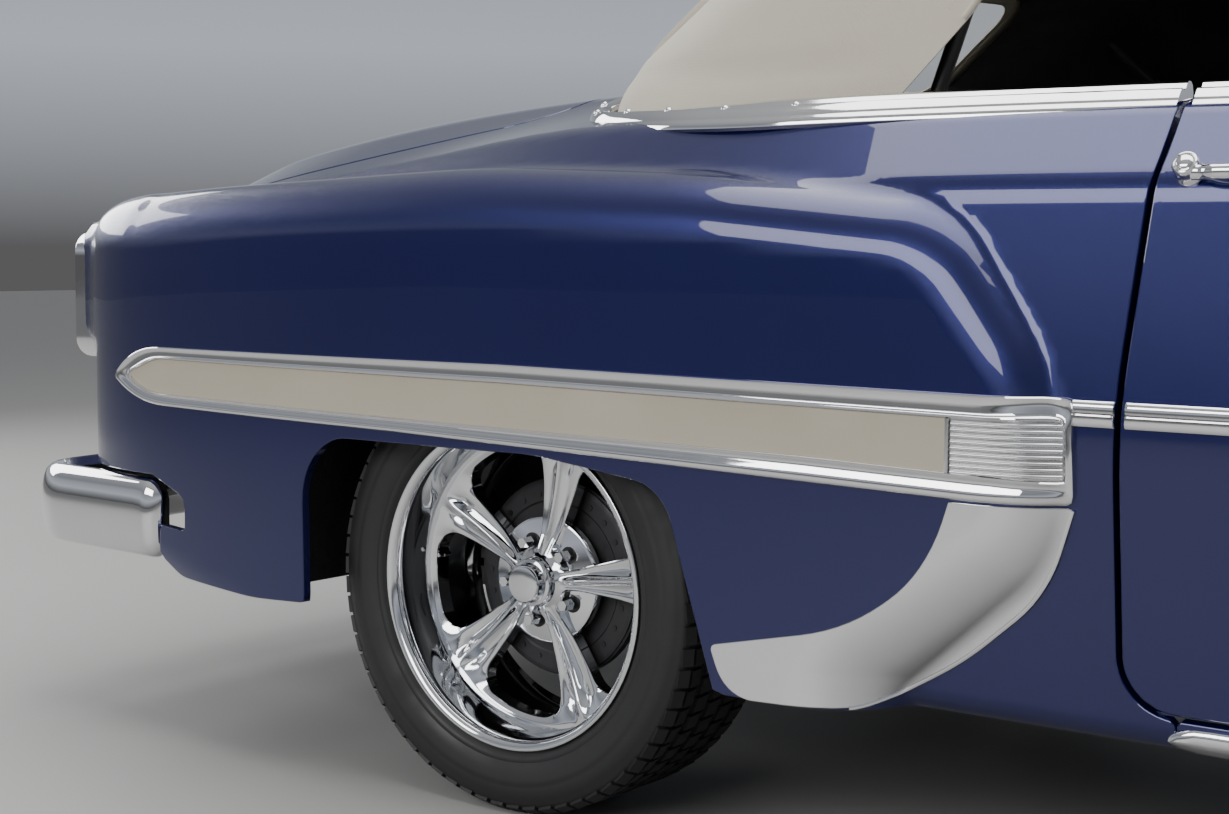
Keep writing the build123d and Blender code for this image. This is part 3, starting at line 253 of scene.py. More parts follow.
def form(p):
    """How far points lie outside the whole body."""
    x, y, z = p[:, 0], np.abs(p[:, 1]), p[:, 2]
    q = np.stack([y, z], 1) - CORE
    reach = np.linalg.norm(q, axis=1)
    d = q / np.maximum(reach, 1e-9)[:, None]
    r = radial(x, d)
    turn = 0.004
    d2 = np.stack([d[:, 0] - d[:, 1] * turn, d[:, 1] + d[:, 0] * turn], 1)
    slope = (radial(x, d2) - r) / (turn * r)
    g = (reach - r) / np.sqrt(1 + slope ** 2)
    near = np.abs(x) > 1.9
    if near.any():
        q = np.stack([x[near], y[near]], 1)
        ends = np.where(x[near] > 0, outside(q, nose_line), outside(q, tail_line))
        g[near] = round_and(g[near], ends, EDGE_R)
    back = (x < -0.25) & (x > -2.43)
    if back.any():
        depth = on_grid(fender_grid, x[back], z[back])
        out = (y[back] - np.interp(x[back], PLAN_X, plan_y)) * np.interp(x[back], PLAN_X, plan_lean)
        f = round_and(depth, out, FENDER_R + FENDER_ROLL * np.clip((0.6 - z[back]) / 0.3, 0, 1))
        g[back] = soft_or(g[back], f, CREASE)
    tail = (x < -2.0) & (z > 0.5)
    if tail.any():
        run = x[tail] - POD_END
        q = np.stack([y[tail] - POD_SPLAY * run, z[tail] - POD_RISE * run], 1)
        pod = round_and(round_and(outside(q, pod_line), -run, 0.006), run - POD_LENGTH, 0.05)
        g[tail] = soft_or(g[tail], pod, POD_BLEND)
    return g

# %% [markdown]
# # The skin as one mesh
# The left half of the body is meshed once, as a globe is mapped: rays leave a line inside the body, and fan out
# at each end towards a lamp, where the map's poles lie hidden. Each ray is followed until it meets the form.
# Every outer panel is then a clean cut from this one skin, so neighbours meet with the same curve, as on a car
# whose panels are trimmed from one clay model.

# %% Rays and the skin mesh
FAN_X, FAN_L, V_SCALE, STEP = 1.98, 0.34, 0.42, 0.0145
NEAREST, FARTHEST = 0.02, 1.25
HEADLAMP_Y, HEADLAMP_Z = 0.692, 0.758
POLES = {1: np.array([2.29, HEADLAMP_Y, HEADLAMP_Z]), -1: np.array([-2.33, 0.742, 0.742])}
AIMS = {}
for side_sign, pole in POLES.items():
    aim = pole - np.array([side_sign * FAN_X, *CORE])
    AIMS[side_sign] = aim / np.linalg.norm(aim)


def rays(uv):
    """Origin and direction of the ray at each chart point."""
    u, th = uv[:, 0], uv[:, 1] / V_SCALE
    e = np.stack([0 * th, np.cos(th), np.sin(th)], 1)
    phi = np.clip((np.abs(u) - FAN_X) / FAN_L, 0, math.pi / 2)[:, None]
    d = e * np.cos(phi) + np.where(u[:, None] > 0, AIMS[1], AIMS[-1]) * np.sin(phi)
    o = np.stack([np.clip(u, -FAN_X, FAN_X), 0 * u + CORE[0], 0 * u + CORE[1]], 1)
    return o, d / np.linalg.norm(d, axis=1)[:, None]


def lift(uv):
    """Points of the body's surface at chart points."""
    o, d = rays(uv)
    lo, hi = np.full(len(uv), NEAREST), np.full(len(uv), FARTHEST)
    glo, ghi = np.minimum(form(o + d * lo[:, None]), -1e-3), np.maximum(form(o + d * hi[:, None]), 1e-3)
    for k in range(13):
        if k < 4:
            t = (lo + hi) / 2
        else:
            t = np.clip((lo * ghi - hi * glo) / (ghi - glo), lo + 0.02 * (hi - lo), hi - 0.02 * (hi - lo))
        g = form(o + d * t[:, None])
        up = g > 0
        hi, lo = np.where(up, t, hi), np.where(up, lo, t)
        ghi, glo = np.where(up, g, ghi * 0.6), np.where(up, glo * 0.6, g)
    return o + d * t[:, None]


def seat(p):
    """Points near the skin, moved onto it along their rays."""
    s = np.where(p[:, 0] > 0, 1, -1)
    aim = np.where(s[:, None] > 0, AIMS[1], AIMS[-1])
    q = p - np.stack([s * FAN_X, 0 * s + CORE[0], 0 * s + CORE[1]], 1)
    b = np.where(np.abs(p[:, 0]) > FAN_X, q[:, 0] / aim[:, 0], 0)
    w = q - b[:, None] * aim
    u = np.where(np.abs(p[:, 0]) > FAN_X, s * (FAN_X + np.arctan2(b, np.hypot(w[:, 1], w[:, 2])) * FAN_L), p[:, 0])
    return lift(np.stack([u, np.arctan2(w[:, 2], w[:, 1]) * V_SCALE], 1))


def normals(p):
    """Outward unit normals of the form at points."""
    h = 0.002
    n = np.stack([form(p + np.eye(3)[k] * h) - form(p - np.eye(3)[k] * h) for k in range(3)], 1)
    return n / np.linalg.norm(n, axis=1)[:, None]


def grid_faces(rows, cols, wrap=False):
    """Triangles of a grid of rows x cols points."""
    i, j = np.meshgrid(np.arange(rows - 1), np.arange(cols if wrap else cols - 1), indexing="ij")
    a, b = (i * cols + j).ravel(), (i * cols + (j + 1) % cols).ravel()
    c, d = a + cols, b + cols
    return np.concatenate([np.stack([a, b, c], 1), np.stack([b, d, c], 1)])


def skin_patch(us, vs, wrap=False):
    uv = np.stack([np.repeat(us, len(vs)), np.tile(vs, len(us))], 1)
    return lift(uv), grid_faces(len(us), len(vs), wrap)


def merged(*patches):
    """Several (points, faces) as one, with points that coincide joined."""
    count, ps, fs = 0, [], []
    for p, f in patches:
        ps.append(p)
        fs.append(np.asarray(f) + count)
        count += len(p)
    p, f = np.concatenate(ps), np.concatenate(fs)
    key = np.round(p / 2e-5).astype(np.int64)
    _, first, inverse = np.unique(key, axis=0, return_index=True, return_inverse=True)
    f = inverse.ravel()[f]
    good = (f[:, 0] != f[:, 1]) & (f[:, 1] != f[:, 2]) & (f[:, 0] != f[:, 2])
    return p[first], f[good]


HALF_TURN = round(math.pi * V_SCALE / STEP)
TURN = np.arange(-HALF_TURN, HALF_TURN) * (math.pi * V_SCALE / HALF_TURN)
SIDE = TURN[(TURN > -1.25 * V_SCALE) & (TURN < 2.85 * V_SCALE)]
BODY_U = np.linspace(-FAN_X, FAN_X, round(2 * FAN_X / STEP) + 1)
FAN_U = FAN_X + np.linspace(0, 1.50 * FAN_L, round(1.5 * FAN_L / STEP) + 1)
skin_points, skin_faces = merged(skin_patch(BODY_U, SIDE), skin_patch(FAN_U, TURN, True),
                                 skin_patch(-FAN_U[::-1], TURN, True))
print("skin", len(skin_points), "points", len(skin_faces), "faces")

# %% [markdown]
# # Cutting panels
# A panel is where a field is negative: the field is a signed distance to the panel's outline, drawn from the
# side, from above or from ahead, and fields are combined with rounded corners. The skin's triangles are clipped
# at the shut line, then the edge is folded in over a small radius and carried inwards, because it is the fold
# and the dark gap beside it that make a panel look pressed.

# %% Panel tools
FOLD_R, SHORTEST, ONE_SIDE_Y = 0.0022, 0.3 * STEP, 0.25


def plan(outline):
    return lambda p: outside(np.stack([p[:, 0], np.abs(p[:, 1])], 1), outline)


def side(outline):
    return lambda p: outside(p[:, [0, 2]], outline)


def ahead(outline):
    return lambda p: outside(np.stack([np.abs(p[:, 1]), p[:, 2]], 1), outline)


def both_of(*fields, r=0.02):
    """Where all fields are negative, with corners rounded to r."""
    def field(p):
        g = fields[0](p)
        for f in fields[1:]:
            g = round_and(g, f(p), r)
        return g
    return field


def less(field, *others, r=0.02):
    """A field without others."""
    return both_of(field, *[(lambda p, o=o: -o(p)) for o in others], r=r)


def clip(p, f, g):
    """The part of a mesh where g, given at its points, is negative."""
    inside = g[f] < 0
    count = inside.sum(1)
    keep = [f[count == 3]]
    cut = f[(count == 1) | (count == 2)]
    lone_in = (g[cut] < 0).sum(1) == 1
    lone = np.where(lone_in[:, None], g[cut] < 0, g[cut] >= 0).argmax(1)
    k = np.arange(len(cut))
    a, b, c = cut[k, lone], cut[k, (lone + 1) % 3], cut[k, (lone + 2) % 3]
    edges = np.sort(np.concatenate([np.stack([a, b], 1), np.stack([a, c], 1)]), 1)
    unique, inverse = np.unique(edges, axis=0, return_inverse=True)
    i, j = unique.T
    t = (g[i] / (g[i] - g[j]))[:, None]
    new = p[i] + (p[j] - p[i]) * t
    ab, ac = np.split(inverse.ravel() + len(p), 2)
    keep.append(np.stack([a, ab, ac], 1)[lone_in])
    two = ~lone_in
    keep.append(np.stack([ab, b, c], 1)[two])
    keep.append(np.stack([ab, c, ac], 1)[two])
    return np.concatenate([p, new]), np.concatenate(keep), np.arange(len(p), len(p) + len(new))


def compact(p, f, *others):
    used, inverse = np.unique(f, return_inverse=True)
    return (p[used], inverse.reshape(f.shape)) + tuple(o[used] for o in others)


def rim_edges(f):
    """Directed boundary edges of a triangle mesh."""
    e = np.concatenate([f[:, [0, 1]], f[:, [1, 2]], f[:, [2, 0]]])
    key = e[:, 0].astype(np.int64) * (f.max() + 1) + e[:, 1]
    back = e[:, 1].astype(np.int64) * (f.max() + 1) + e[:, 0]
    return e[~np.isin(key, back)]


def collapse_short(p, f, fixed_from, limit):
    """Joins points made by the clip to a neighbour closer than limit, so that no slivers are left."""
    e = np.unique(np.sort(np.concatenate([f[:, [0, 1]], f[:, [1, 2]], f[:, [2, 0]]]), 1), axis=0)
    length = np.linalg.norm(p[e[:, 0]] - p[e[:, 1]], axis=1)
    e = e[(length < limit) & (e[:, 1] >= fixed_from)]
    goal = np.arange(len(p))
    taken = np.zeros(len(p), bool)
    for a, b in e:
        if not taken[a] and not taken[b]:
            taken[a] = taken[b] = True
            goal[min(a, b)] = max(a, b)
    f = goal[f]
    good = (f[:, 0] != f[:, 1]) & (f[:, 1] != f[:, 2]) & (f[:, 0] != f[:, 2])
    return f[good]


def gradient(field, p, h=0.001):
    return np.stack([field(p + np.eye(3)[k] * h) - field(p - np.eye(3)[k] * h) for k in range(3)], 1) / (2 * h)


def on_middle(p):
    return np.abs(p[:, 1]) < 1e-6


def cut_skin(field, level, source=None, crosses=True):
    """The left half of the skin where a field is below -level: points and faces."""
    points, faces = source or (skin_points, skin_faces)
    p, f, new = clip(points, faces, field(points) + level)
    q = p[new]
    for k in range(2):
        n = normals(q)
        ds = gradient(field, q)
        ds -= (ds * n).sum(1)[:, None] * n
        size = np.maximum((ds * ds).sum(1), 0.25)
        q = seat(q - ds * np.clip((field(q) + level) / size, -0.004, 0.004)[:, None])
    p[new] = q
    f = collapse_short(p, f, len(points), SHORTEST)
    if crosses:
        p, f, middle = clip(p, f, -p[:, 1])
        p[middle, 1] = 0
        f = collapse_short(p, f, middle[0] if len(middle) else len(p), SHORTEST)
        p[on_middle(p), 1] = 0
    else:
        f = f[(p[f][:, :, 1] > ONE_SIDE_Y).all(1)]
    p, f = merged((p, f))
    return compact(p, f)


def edged(p, f, n, field, inner, fold, proud=0.0, twin=False):
    """A sheet with its edge folded in over a small radius, a flange and an inner face: points, faces, normals.

    inner is the depth of the inner face under the sheet, or a function that gives its points."""
    edge = rim_edges(f)
    if twin:
        edge = edge[~(on_middle(p[edge[:, 0]]) & on_middle(p[edge[:, 1]]))]
    rim, edge = np.unique(edge, return_inverse=True)
    edge = edge.reshape(-1, 2)
    e = gradient(field, p[rim])
    e -= (e * n[rim]).sum(1)[:, None] * n[rim]
    e /= np.maximum(np.linalg.norm(e, axis=1), 1e-9)[:, None]
    if twin:
        e[on_middle(p[rim]), 1] = 0
    top = p + n * proud
    rows, row_normals = [top[rim]], [n[rim]]
    for angle in (30, 60, 90):
        s, c = math.sin(math.radians(angle)), math.cos(math.radians(angle))
        rows.append(top[rim] + (e * s - n[rim] * (1 - c)) * fold)
        row_normals.append(n[rim] * c + e * s)
    lip = p[rim] + e * fold
    if callable(inner):
        bottom = inner(p, n)
        bottom[rim] = inner(lip, n[rim])
    else:
        bottom = p - n * inner
        bottom[rim] = lip - n[rim] * inner
    if twin:
        bottom[on_middle(p), 1] = 0
    rows.append(bottom[rim])
    row_normals.append(e)
    points, faces, loops = [top], [f], [n[f]]
    start, last = len(p), rim
    a, b = edge.T
    for k in range(1, len(rows)):
        done = k == len(rows) - 1
        this = start + (rim if done else np.arange(len(rim)))
        points.append(bottom if done else rows[k])
        na, nb = row_normals[k - done], row_normals[k]
        faces += [np.stack([last[a], this[a], last[b]], 1), np.stack([last[b], this[a], this[b]], 1)]
        loops += [np.stack([na[a], nb[a], na[b]], 1), np.stack([na[b], nb[a], nb[b]], 1)]
        start, last = start + (0 if done else len(rim)), this
    faces.append(start + f[:, ::-1])
    loops.append(-n[f][:, ::-1])
    points, faces, loops = np.concatenate(points), np.concatenate(faces), np.concatenate(loops)
    if twin:
        in_plane = np.abs(points[faces][:, :, 1]).max(1) < 1e-6
        faces, loops = faces[~in_plane], loops[~in_plane]
        mid = on_middle(points)
        other = np.where(mid, np.arange(len(points)), len(points) + np.cumsum(~mid) - 1)
        points = np.concatenate([points, points[~mid] * (1, -1, 1)])
        faces = np.concatenate([faces, other[faces][:, ::-1]])
        loops = np.concatenate([loops, (loops * (1, -1, 1))[:, ::-1]])
    return points, faces, loops


def pressed(name, field, material, inner=0.014, fold=FOLD_R, source=None, crosses=True, proud=0.0, twin=True):
    """A pressed panel cut from the skin, on both sides of the car or on the left only."""
    p, f = cut_skin(field, fold, source, crosses)
    return shaded(name, *edged(p, f, normals(p), field, inner, fold, proud, twin), material)


def new_object(name, data):
    """An object of some data, put in the scene."""
    made = bpy.data.objects.new(name, data)
    bpy.context.scene.collection.objects.link(made)
    return made


def shaded(name, points, faces, loops, material):
    """A mesh object with its own normals at each corner of each face."""
    mesh = bpy.data.meshes.new(name)
    mesh.from_pydata(points.tolist(), [], faces.tolist())
    if material:
        mesh.materials.append(material)
    mesh.shade_smooth()
    loops = loops / np.maximum(np.linalg.norm(loops, axis=2), 1e-9)[..., None]
    mesh.normals_split_custom_set(loops.reshape(-1, 3).tolist())
    print(name, len(faces), "triangles")
    return new_object(name, mesh)


def mirror_object(o, name):
    """The same piece on the other side of the car."""
    mesh = o.data
    count = len(mesh.vertices)
    p = np.empty(count * 3)
    mesh.vertices.foreach_get("co", p)
    f = np.empty(len(mesh.loops), int)
    mesh.loops.foreach_get("vertex_index", f)
    n = np.empty(len(mesh.loops) * 3)
    mesh.corner_normals.foreach_get("vector", n)
    p, f, n = p.reshape(-1, 3) * (1, -1, 1), f.reshape(-1, 3)[:, ::-1], n.reshape(-1, 3, 3) * (1, -1, 1)
    return shaded(name, p, f, n[:, ::-1], mesh.materials[0] if mesh.materials else None)


# %% [markdown]
# # The outer panels
# The shut lines were drawn in clay before any metal was cut: the doors' rear edge leans and curves, the hood and
# the trunk lid taper in plan, and the wheel arches are flattened at the top. Each panel below is one field made
# of those outlines; gaps of six millimetres part the ones that open.

# %% Outlines of the panels
def symmetric(half):
    return half + [(u, -v, r) for u, v, r in reversed(half)]


GAP = 0.006
COCKPIT = [(872, 735, 60), (-960, 752, 700), (-1275, 632, 200), (-1366, 300, 900)]
cockpit = plan(rounded(symmetric(COCKPIT)))
door_line = side(rounded([(900, 298, 50), (900, 1200, 0), (-277, 1200, 0), (-277, 925, 700), (-306, 668, 900),
                          (-310, 298, 62)]))
lid_line = plan(rounded(symmetric([(-1475, 505, 90), (-2120, 585, 200), (-2420, 520, 0)])))
hood_line = plan(rounded(symmetric([(1012, 655, 30), (1663, 560, 900), (2400, 440, 0)])))
rear_arch = side(rounded([(-1604, 180, 0), (-1611, 542, 100), (-1140, 544, 400), (-922, 517, 75), (-812, 180, 0)]))
front_arch = side(rounded([(1265, 120, 0), (1265, 622, 150), (2061, 622, 150), (2061, 120, 0)]))
under_line = side(rounded([(-2500, 0, 0), (-2500, 446, 0), (-1998, 449, 30), (-1906, 418, 22), (-1906, 364, 6),
                           (-1976, 368, 4), (-1980, 316, 4), (-1925, 284, 70), (-1730, 275, 600), (-1560, 284, 300),
                           (-1300, 253, 100), (-200, 253, 0), (-200, 0, 0)]))
nose_split = ahead(rounded([(-548, 1300, 0), (548, 1300, 0), (548, 655, 20), (680, 630, 20), (680, 200, 0),
                            (-680, 200, 0), (-680, 630, 20), (-548, 655, 20)]))
grille_oval = ahead(rounded([(622, 620, 92), (622, 420, 92), (-622, 420, 92), (-622, 620, 92)]))
HEADLAMP_R, DOOR_FRONT, NOSE_X = 0.115, 0.906, 2.14


def box_field(x0=-9, x1=9, y0=-9, y1=9, z0=-9, z1=9):
    """Negative inside a box; y is measured from the middle plane."""
    def field(p):
        y = np.abs(p[:, 1])
        return np.max([x0 - p[:, 0], p[:, 0] - x1, y0 - y, y - y1, z0 - p[:, 2], p[:, 2] - z1], axis=0)
    return field


def headlamp(p):
    return np.where(p[:, 0] > 2.0, np.hypot(np.abs(p[:, 1]) - HEADLAMP_Y, p[:, 2] - HEADLAMP_Z), 9) - HEADLAMP_R


def front_only(field, x0):
    return lambda p: np.where(p[:, 0] > x0, field(p), 9.0)


def grown(field, by):
    return lambda p: field(p) - by


door_shape = both_of(both_of(door_line, lambda q: -cockpit(q), r=0.03), box_field(y0=0.7305), r=0.002)
rear_shape = less(box_field(x1=-0.246), grown(door_line, GAP), cockpit,
                  grown(both_of(lid_line, box_field(z0=0.585), r=0.05), GAP), rear_arch, under_line, r=0.006)
hood_shape = both_of(hood_line, box_field(x0=0.5, z0=0.715), r=0.03)
lid_shape = both_of(lid_line, box_field(x1=-1.0, z0=0.585), r=0.05)
nose_shape = both_of(box_field(x0=NOSE_X), nose_split, r=0.002)
mouth_zone = front_only(grille_oval, 2.0)
apron_shape = less(nose_shape, grown(hood_shape, GAP), mouth_zone, r=0.006)
cowl_zone = box_field(x1=1.142, y1=0.727)
fender_shape = less(box_field(x0=DOOR_FRONT, z0=0.2), cowl_zone, grown(hood_shape, GAP), grown(nose_shape, 0.001),
                    front_arch, headlamp, mouth_zone, r=0.003)
cowl_shape = less(both_of(cowl_zone, box_field(x0=0.5), r=0.01), cockpit, grown(hood_shape, GAP), r=0.004)
rocker_shape = box_field(x0=-0.2457, x1=0.9057, z0=0.2515, z1=0.292)


# %% [markdown]
# # Finishes
# Paint, plated brass, cast alloy, cloth and rubber all differ in how rough they are and how that changes over
# a surface. One helper lays the same three layers for each of them: a colour that drifts a little, a gloss
# that drifts with it, and a fine relief. What only one finish has, such as flakes or a weave, is added to it
# afterwards. Every pattern is worked out from the object's own coordinates, so it stays on the piece.

# %% A helper for finishes
FINISHES = {}


def add(material, kind, **inputs):
    """A shader node; inputs are values or sockets, named with _ for a space."""
    node = material.node_tree.nodes.new(kind)
    for key, value in inputs.items():
        name = key.replace("_", " ")
        if hasattr(node, key) and name not in node.inputs:
            setattr(node, key, value)
        elif isinstance(value, bpy.types.NodeSocket):
            material.node_tree.links.new(value, node.inputs[name])
        else:
            node.inputs[name].default_value = value
    return node


def finish(name, colour, rough, metallic=0.0, drift=0.12, cloud=9.0, smear=0.25, grain=900.0, relief=0.03, **sockets):
    """A finish whose colour, gloss and relief vary, and its shader node."""
    material = bpy.data.materials.new(name)
    material.use_nodes = True
    tree = material.node_tree
    shader = tree.nodes["Principled BSDF"]
    place = add(material, "ShaderNodeTexCoord").outputs["Object"]
    patches = add(material, "ShaderNodeTexNoise", Vector=place, Scale=cloud, Detail=4.0)
    tint = add(material, "ShaderNodeMix", data_type="RGBA", Factor=patches.outputs["Fac"])
    dark, light = [tuple(min(1, c * (1 + s * drift)) for c in colour) + (1,) for s in (-1, 1)]
    tint.inputs[6].default_value, tint.inputs[7].default_value = dark, light
    gloss = add(material, "ShaderNodeMapRange", Value=patches.outputs["Fac"], From_Min=0.3, From_Max=0.7,
                To_Min=rough * (1 - smear), To_Max=rough * (1 + smear))
    fine = add(material, "ShaderNodeTexNoise", Vector=place, Scale=grain, Detail=3.0)
    bump = add(material, "ShaderNodeBump", Strength=relief, Distance=0.001, Height=fine.outputs["Fac"])
    tree.links.new(tint.outputs[2], shader.inputs["Base Color"])
    tree.links.new(gloss.outputs["Result"], shader.inputs["Roughness"])
    tree.links.new(bump.outputs["Normal"], shader.inputs["Normal"])
    shader.inputs["Metallic"].default_value = metallic
    for key, value in sockets.items():
        shader.inputs[key.replace("_", " ")].default_value = value
    FINISHES[name] = dict(material=material, shader=shader, place=place, tint=tint, bump=bump)
    return material


# %% [markdown]
# # Paint and bright metal
# The body is a deep blue pearl under clear lacquer: a metallic base whose flakes each lean their own way, seen
# through a smooth coat. The flakes are tiny cells with a random tilt, so they glitter only near a highlight.
# The mouldings are plated and buffed, with the faint waves of buffing, and the wheels are cast and polished.

# %% Paint and bright metal
pearl_blue = finish("pearl_blue_paint", (0.0034, 0.0066, 0.088), 0.24, 0.62, drift=0.10, cloud=2.5, smear=0.08,
                    Coat_Weight=1.0, Coat_Roughness=0.015)
pearl = FINISHES["pearl_blue_paint"]
flakes = add(pearl_blue, "ShaderNodeTexVoronoi", Vector=pearl["place"], Scale=2600.0)
tilt = add(pearl_blue, "ShaderNodeBump", Strength=0.16, Distance=0.0004, Height=flakes.outputs["Color"])
pearl_blue.node_tree.links.new(tilt.outputs["Normal"], pearl["shader"].inputs["Normal"])
bright = finish("chrome_plate", (0.80, 0.80, 0.81), 0.045, 1.0, drift=0.03, cloud=18.0, smear=0.4, grain=55.0,
                relief=0.012)
soft_bright = finish("brushed_bright_trim", (0.70, 0.70, 0.69), 0.16, 1.0, drift=0.04, cloud=30.0, grain=1500.0,
                     relief=0.05)
alloy = finish("polished_cast_alloy", (0.74, 0.75, 0.77), 0.07, 1.0, drift=0.03, cloud=25.0, smear=0.35, grain=70.0,
               relief=0.015)
steel = finish("bare_steel", (0.36, 0.36, 0.37), 0.36, 1.0, cloud=40.0, relief=0.08)
iron = finish("brake_iron", (0.045, 0.045, 0.047), 0.5, 0.7, cloud=60.0, relief=0.12)
chassis_black = finish("chassis_black", (0.012, 0.012, 0.013), 0.42, 0.0, drift=0.3, cloud=35.0, relief=0.10,
                       Coat_Weight=0.3, Coat_Roughness=0.25)
under_coat = finish("underbody_coat", (0.018, 0.018, 0.02), 0.75, 0.0, drift=0.3, cloud=50.0, grain=260.0, relief=0.5)
satin_black = finish("satin_black", (0.010, 0.010, 0.011), 0.38, 0.0, drift=0.2, relief=0.05)
engine_blue = finish("engine_enamel", (0.02, 0.05, 0.13), 0.3, 0.0, cloud=30.0, relief=0.15, Coat_Weight=0.6)
insert_beige = finish("insert_paint", (0.47, 0.42, 0.33), 0.38, 0.15, drift=0.03, cloud=6.0, grain=1800.0,
                      relief=0.02, Coat_Weight=0.7, Coat_Roughness=0.12)
print("metals and paints", len(FINISHES))

# %% [markdown]
# # Cloth, rubber, glass and trim
# The top is a woven canvas: two sets of threads cross at right angles, and where they cross one lies over the
# other. Two wave textures at right angles give that, with a little fuzz of sheen. Vinyl has a leather grain,
# carpet is short loops, and rubber is matt with a trace of gloss.

# %% Cloth, rubber, glass and trim
canvas = finish("beige_canvas", (0.50, 0.46, 0.38), 0.85, 0.0, drift=0.06, cloud=7.0, relief=0.2, Sheen_Weight=0.25,
                Sheen_Roughness=0.4)


def weave(material, pitch, depth):
    """Threads crossing at right angles, as relief and as a slight change of shade."""
    f = FINISHES[material.name]
    tree = material.node_tree
    threads = add(material, "ShaderNodeTexCoord").outputs["UV"]
    sets = [add(material, "ShaderNodeTexWave", Vector=threads, bands_direction=way, Scale=0.314 / pitch,
                Distortion=0.6, Detail=1.0, Detail_Scale=3.0) for way in ("X", "Y")]
    both = add(material, "ShaderNodeMath", operation="MULTIPLY")
    for k in range(2):
        tree.links.new(sets[k].outputs["Fac"], both.inputs[k])
    bump = add(material, "ShaderNodeBump", Strength=depth, Distance=0.0006, Height=both.outputs["Value"],
               Normal=f["bump"].outputs["Normal"])
    tree.links.new(bump.outputs["Normal"], f["shader"].inputs["Normal"])


weave(canvas, 0.0022, 0.5)
lining = finish("black_headlining", (0.008, 0.008, 0.009), 0.9, 0.0, relief=0.3, Sheen_Weight=0.2)
weave(lining, 0.0030, 0.4)
vinyl = finish("beige_vinyl", (0.44, 0.39, 0.30), 0.42, 0.0, drift=0.08, cloud=12.0, grain=420.0, relief=0.25,
               Coat_Weight=0.15, Coat_Roughness=0.3)
carpet = finish("black_carpet", (0.014, 0.014, 0.016), 0.95, 0.0, drift=0.4, cloud=300.0, grain=700.0, relief=0.9,
                Sheen_Weight=0.3)
tyre_rubber = finish("tyre_rubber", (0.0135, 0.0135, 0.014), 0.58, 0.0, drift=0.25, cloud=14.0, grain=500.0,
                     relief=0.10)
ivory_plastic = finish("ivory_plastic", (0.46, 0.41, 0.31), 0.22, 0.0, drift=0.03, Coat_Weight=0.5)
dial_face = finish("dial_face", (0.02, 0.02, 0.022), 0.35, 0.0)
screen_glass = finish("screen_glass", (0.93, 0.97, 0.96), 0.01, 0.0, drift=0.0, relief=0.0, Transmission_Weight=1.0,
                      IOR=1.1)
clear_window = finish("clear_vinyl_window", (0.9, 0.9, 0.88), 0.06, 0.0, drift=0.02, relief=0.04,
                      Transmission_Weight=0.95, IOR=1.12)
lamp_glass = finish("lamp_glass", (0.92, 0.94, 0.95), 0.03, 0.0, drift=0.0, grain=90.0, relief=0.1,
                    Transmission_Weight=0.85, IOR=1.3)
red_glass = finish("red_lamp_glass", (0.33, 0.006, 0.008), 0.12, 0.0, drift=0.1, grain=160.0, relief=0.3,
                   Transmission_Weight=0.35, IOR=1.3, Coat_Weight=0.6)
print("finishes", len(FINISHES))

# %% [markdown]
# # The painted panels
# With the form, the outlines and the paint at hand, each outer panel is one call. A door and a front fender are
# cut on the left and mirrored, while the other panels are made on both sides at once. Each panel then rides on
# its body, and stands for the plain solid of the same name.

# %% Panels in paint
def to_plane(y):
    """Inner face on an upright plane beside the cabin."""
    def inner(p, n):
        q = p.copy()
        q[:, 1] = y
        q[:, 2] = np.minimum(q[:, 2], 0.985)
        return q
    return inner


door_left = pressed("door_left_panel", door_shape, pearl_blue, to_plane(0.7302), crosses=False, twin=False)
door_right = mirror_object(door_left, "door_right_panel")
body_rear = pressed("rear_body", rear_shape, pearl_blue)
hood = pressed("hood_panel", hood_shape, pearl_blue, 0.012)
lid = pressed("trunk_lid_panel", lid_shape, pearl_blue, 0.012)
fender_left = pressed("front_fender_left_panel", fender_shape, pearl_blue, crosses=False, twin=False)
fender_right = mirror_object(fender_left, "front_fender_right_panel")
apron = pressed("nose_panel", apron_shape, pearl_blue)
cowl_top = pressed("cowl_panel", cowl_shape, pearl_blue)
sills = pressed("sills", rocker_shape, pearl_blue, crosses=False)
for piece, body, nodes in ((door_left, "door_left", ["door_left"]), (door_right, "door_right", ["door_right"]),
                           (body_rear, "body", ["quarter_left", "quarter_right", "rear_deck"]),
                           (hood, "hood", ["hood"]), (lid, "trunk_lid", ["trunk_lid"]),
                           (fender_left, "body", ["front_fender_left"]),
                           (fender_right, "body", ["front_fender_right"]),
                           (apron, "body", ["front_apron"]), (cowl_top, "body", ["cowl"]),
                           (sills, "body", ["rockers"])):
    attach(piece, body)
    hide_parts(*nodes)

# %% [markdown]
# # Shapes that are swept, turned and repeated
# Most bright parts of a car are one section carried along a line, such as a moulding or a bumper, or one
# profile turned about an axle, such as a wheel or a lamp. The helpers below make such shapes from a few numbers,
# close their ends, and turn all faces outwards.

# %% Swept and turned shapes
def piece_of(name, parts, material, sharp=38, body=None, nodes=(), slot=None, sides=False):
    """One object from several (points, faces), mirrored too if sides, and put on its body."""
    bm = bmesh.new()
    for points, faces in parts:
        for sign in ((1, -1) if sides else (1,)):
            made = [bm.verts.new((float(x), sign * float(y), float(z))) for x, y, z in points]
            for f in faces:
                if len(set(f)) > 2:
                    bm.faces.new([made[k] for k in f])
    bmesh.ops.remove_doubles(bm, verts=bm.verts, dist=1e-5)
    bmesh.ops.dissolve_degenerate(bm, edges=bm.edges, dist=1e-6)
    bmesh.ops.recalc_face_normals(bm, faces=bm.faces)
    mesh = bpy.data.meshes.new(name)
    bm.to_mesh(mesh)
    bm.free()
    mesh.materials.append(material)
    mesh.shade_smooth()
    mesh.set_sharp_from_angle(angle=math.radians(sharp))
    return placed(new_object(name, mesh), body, nodes, slot)


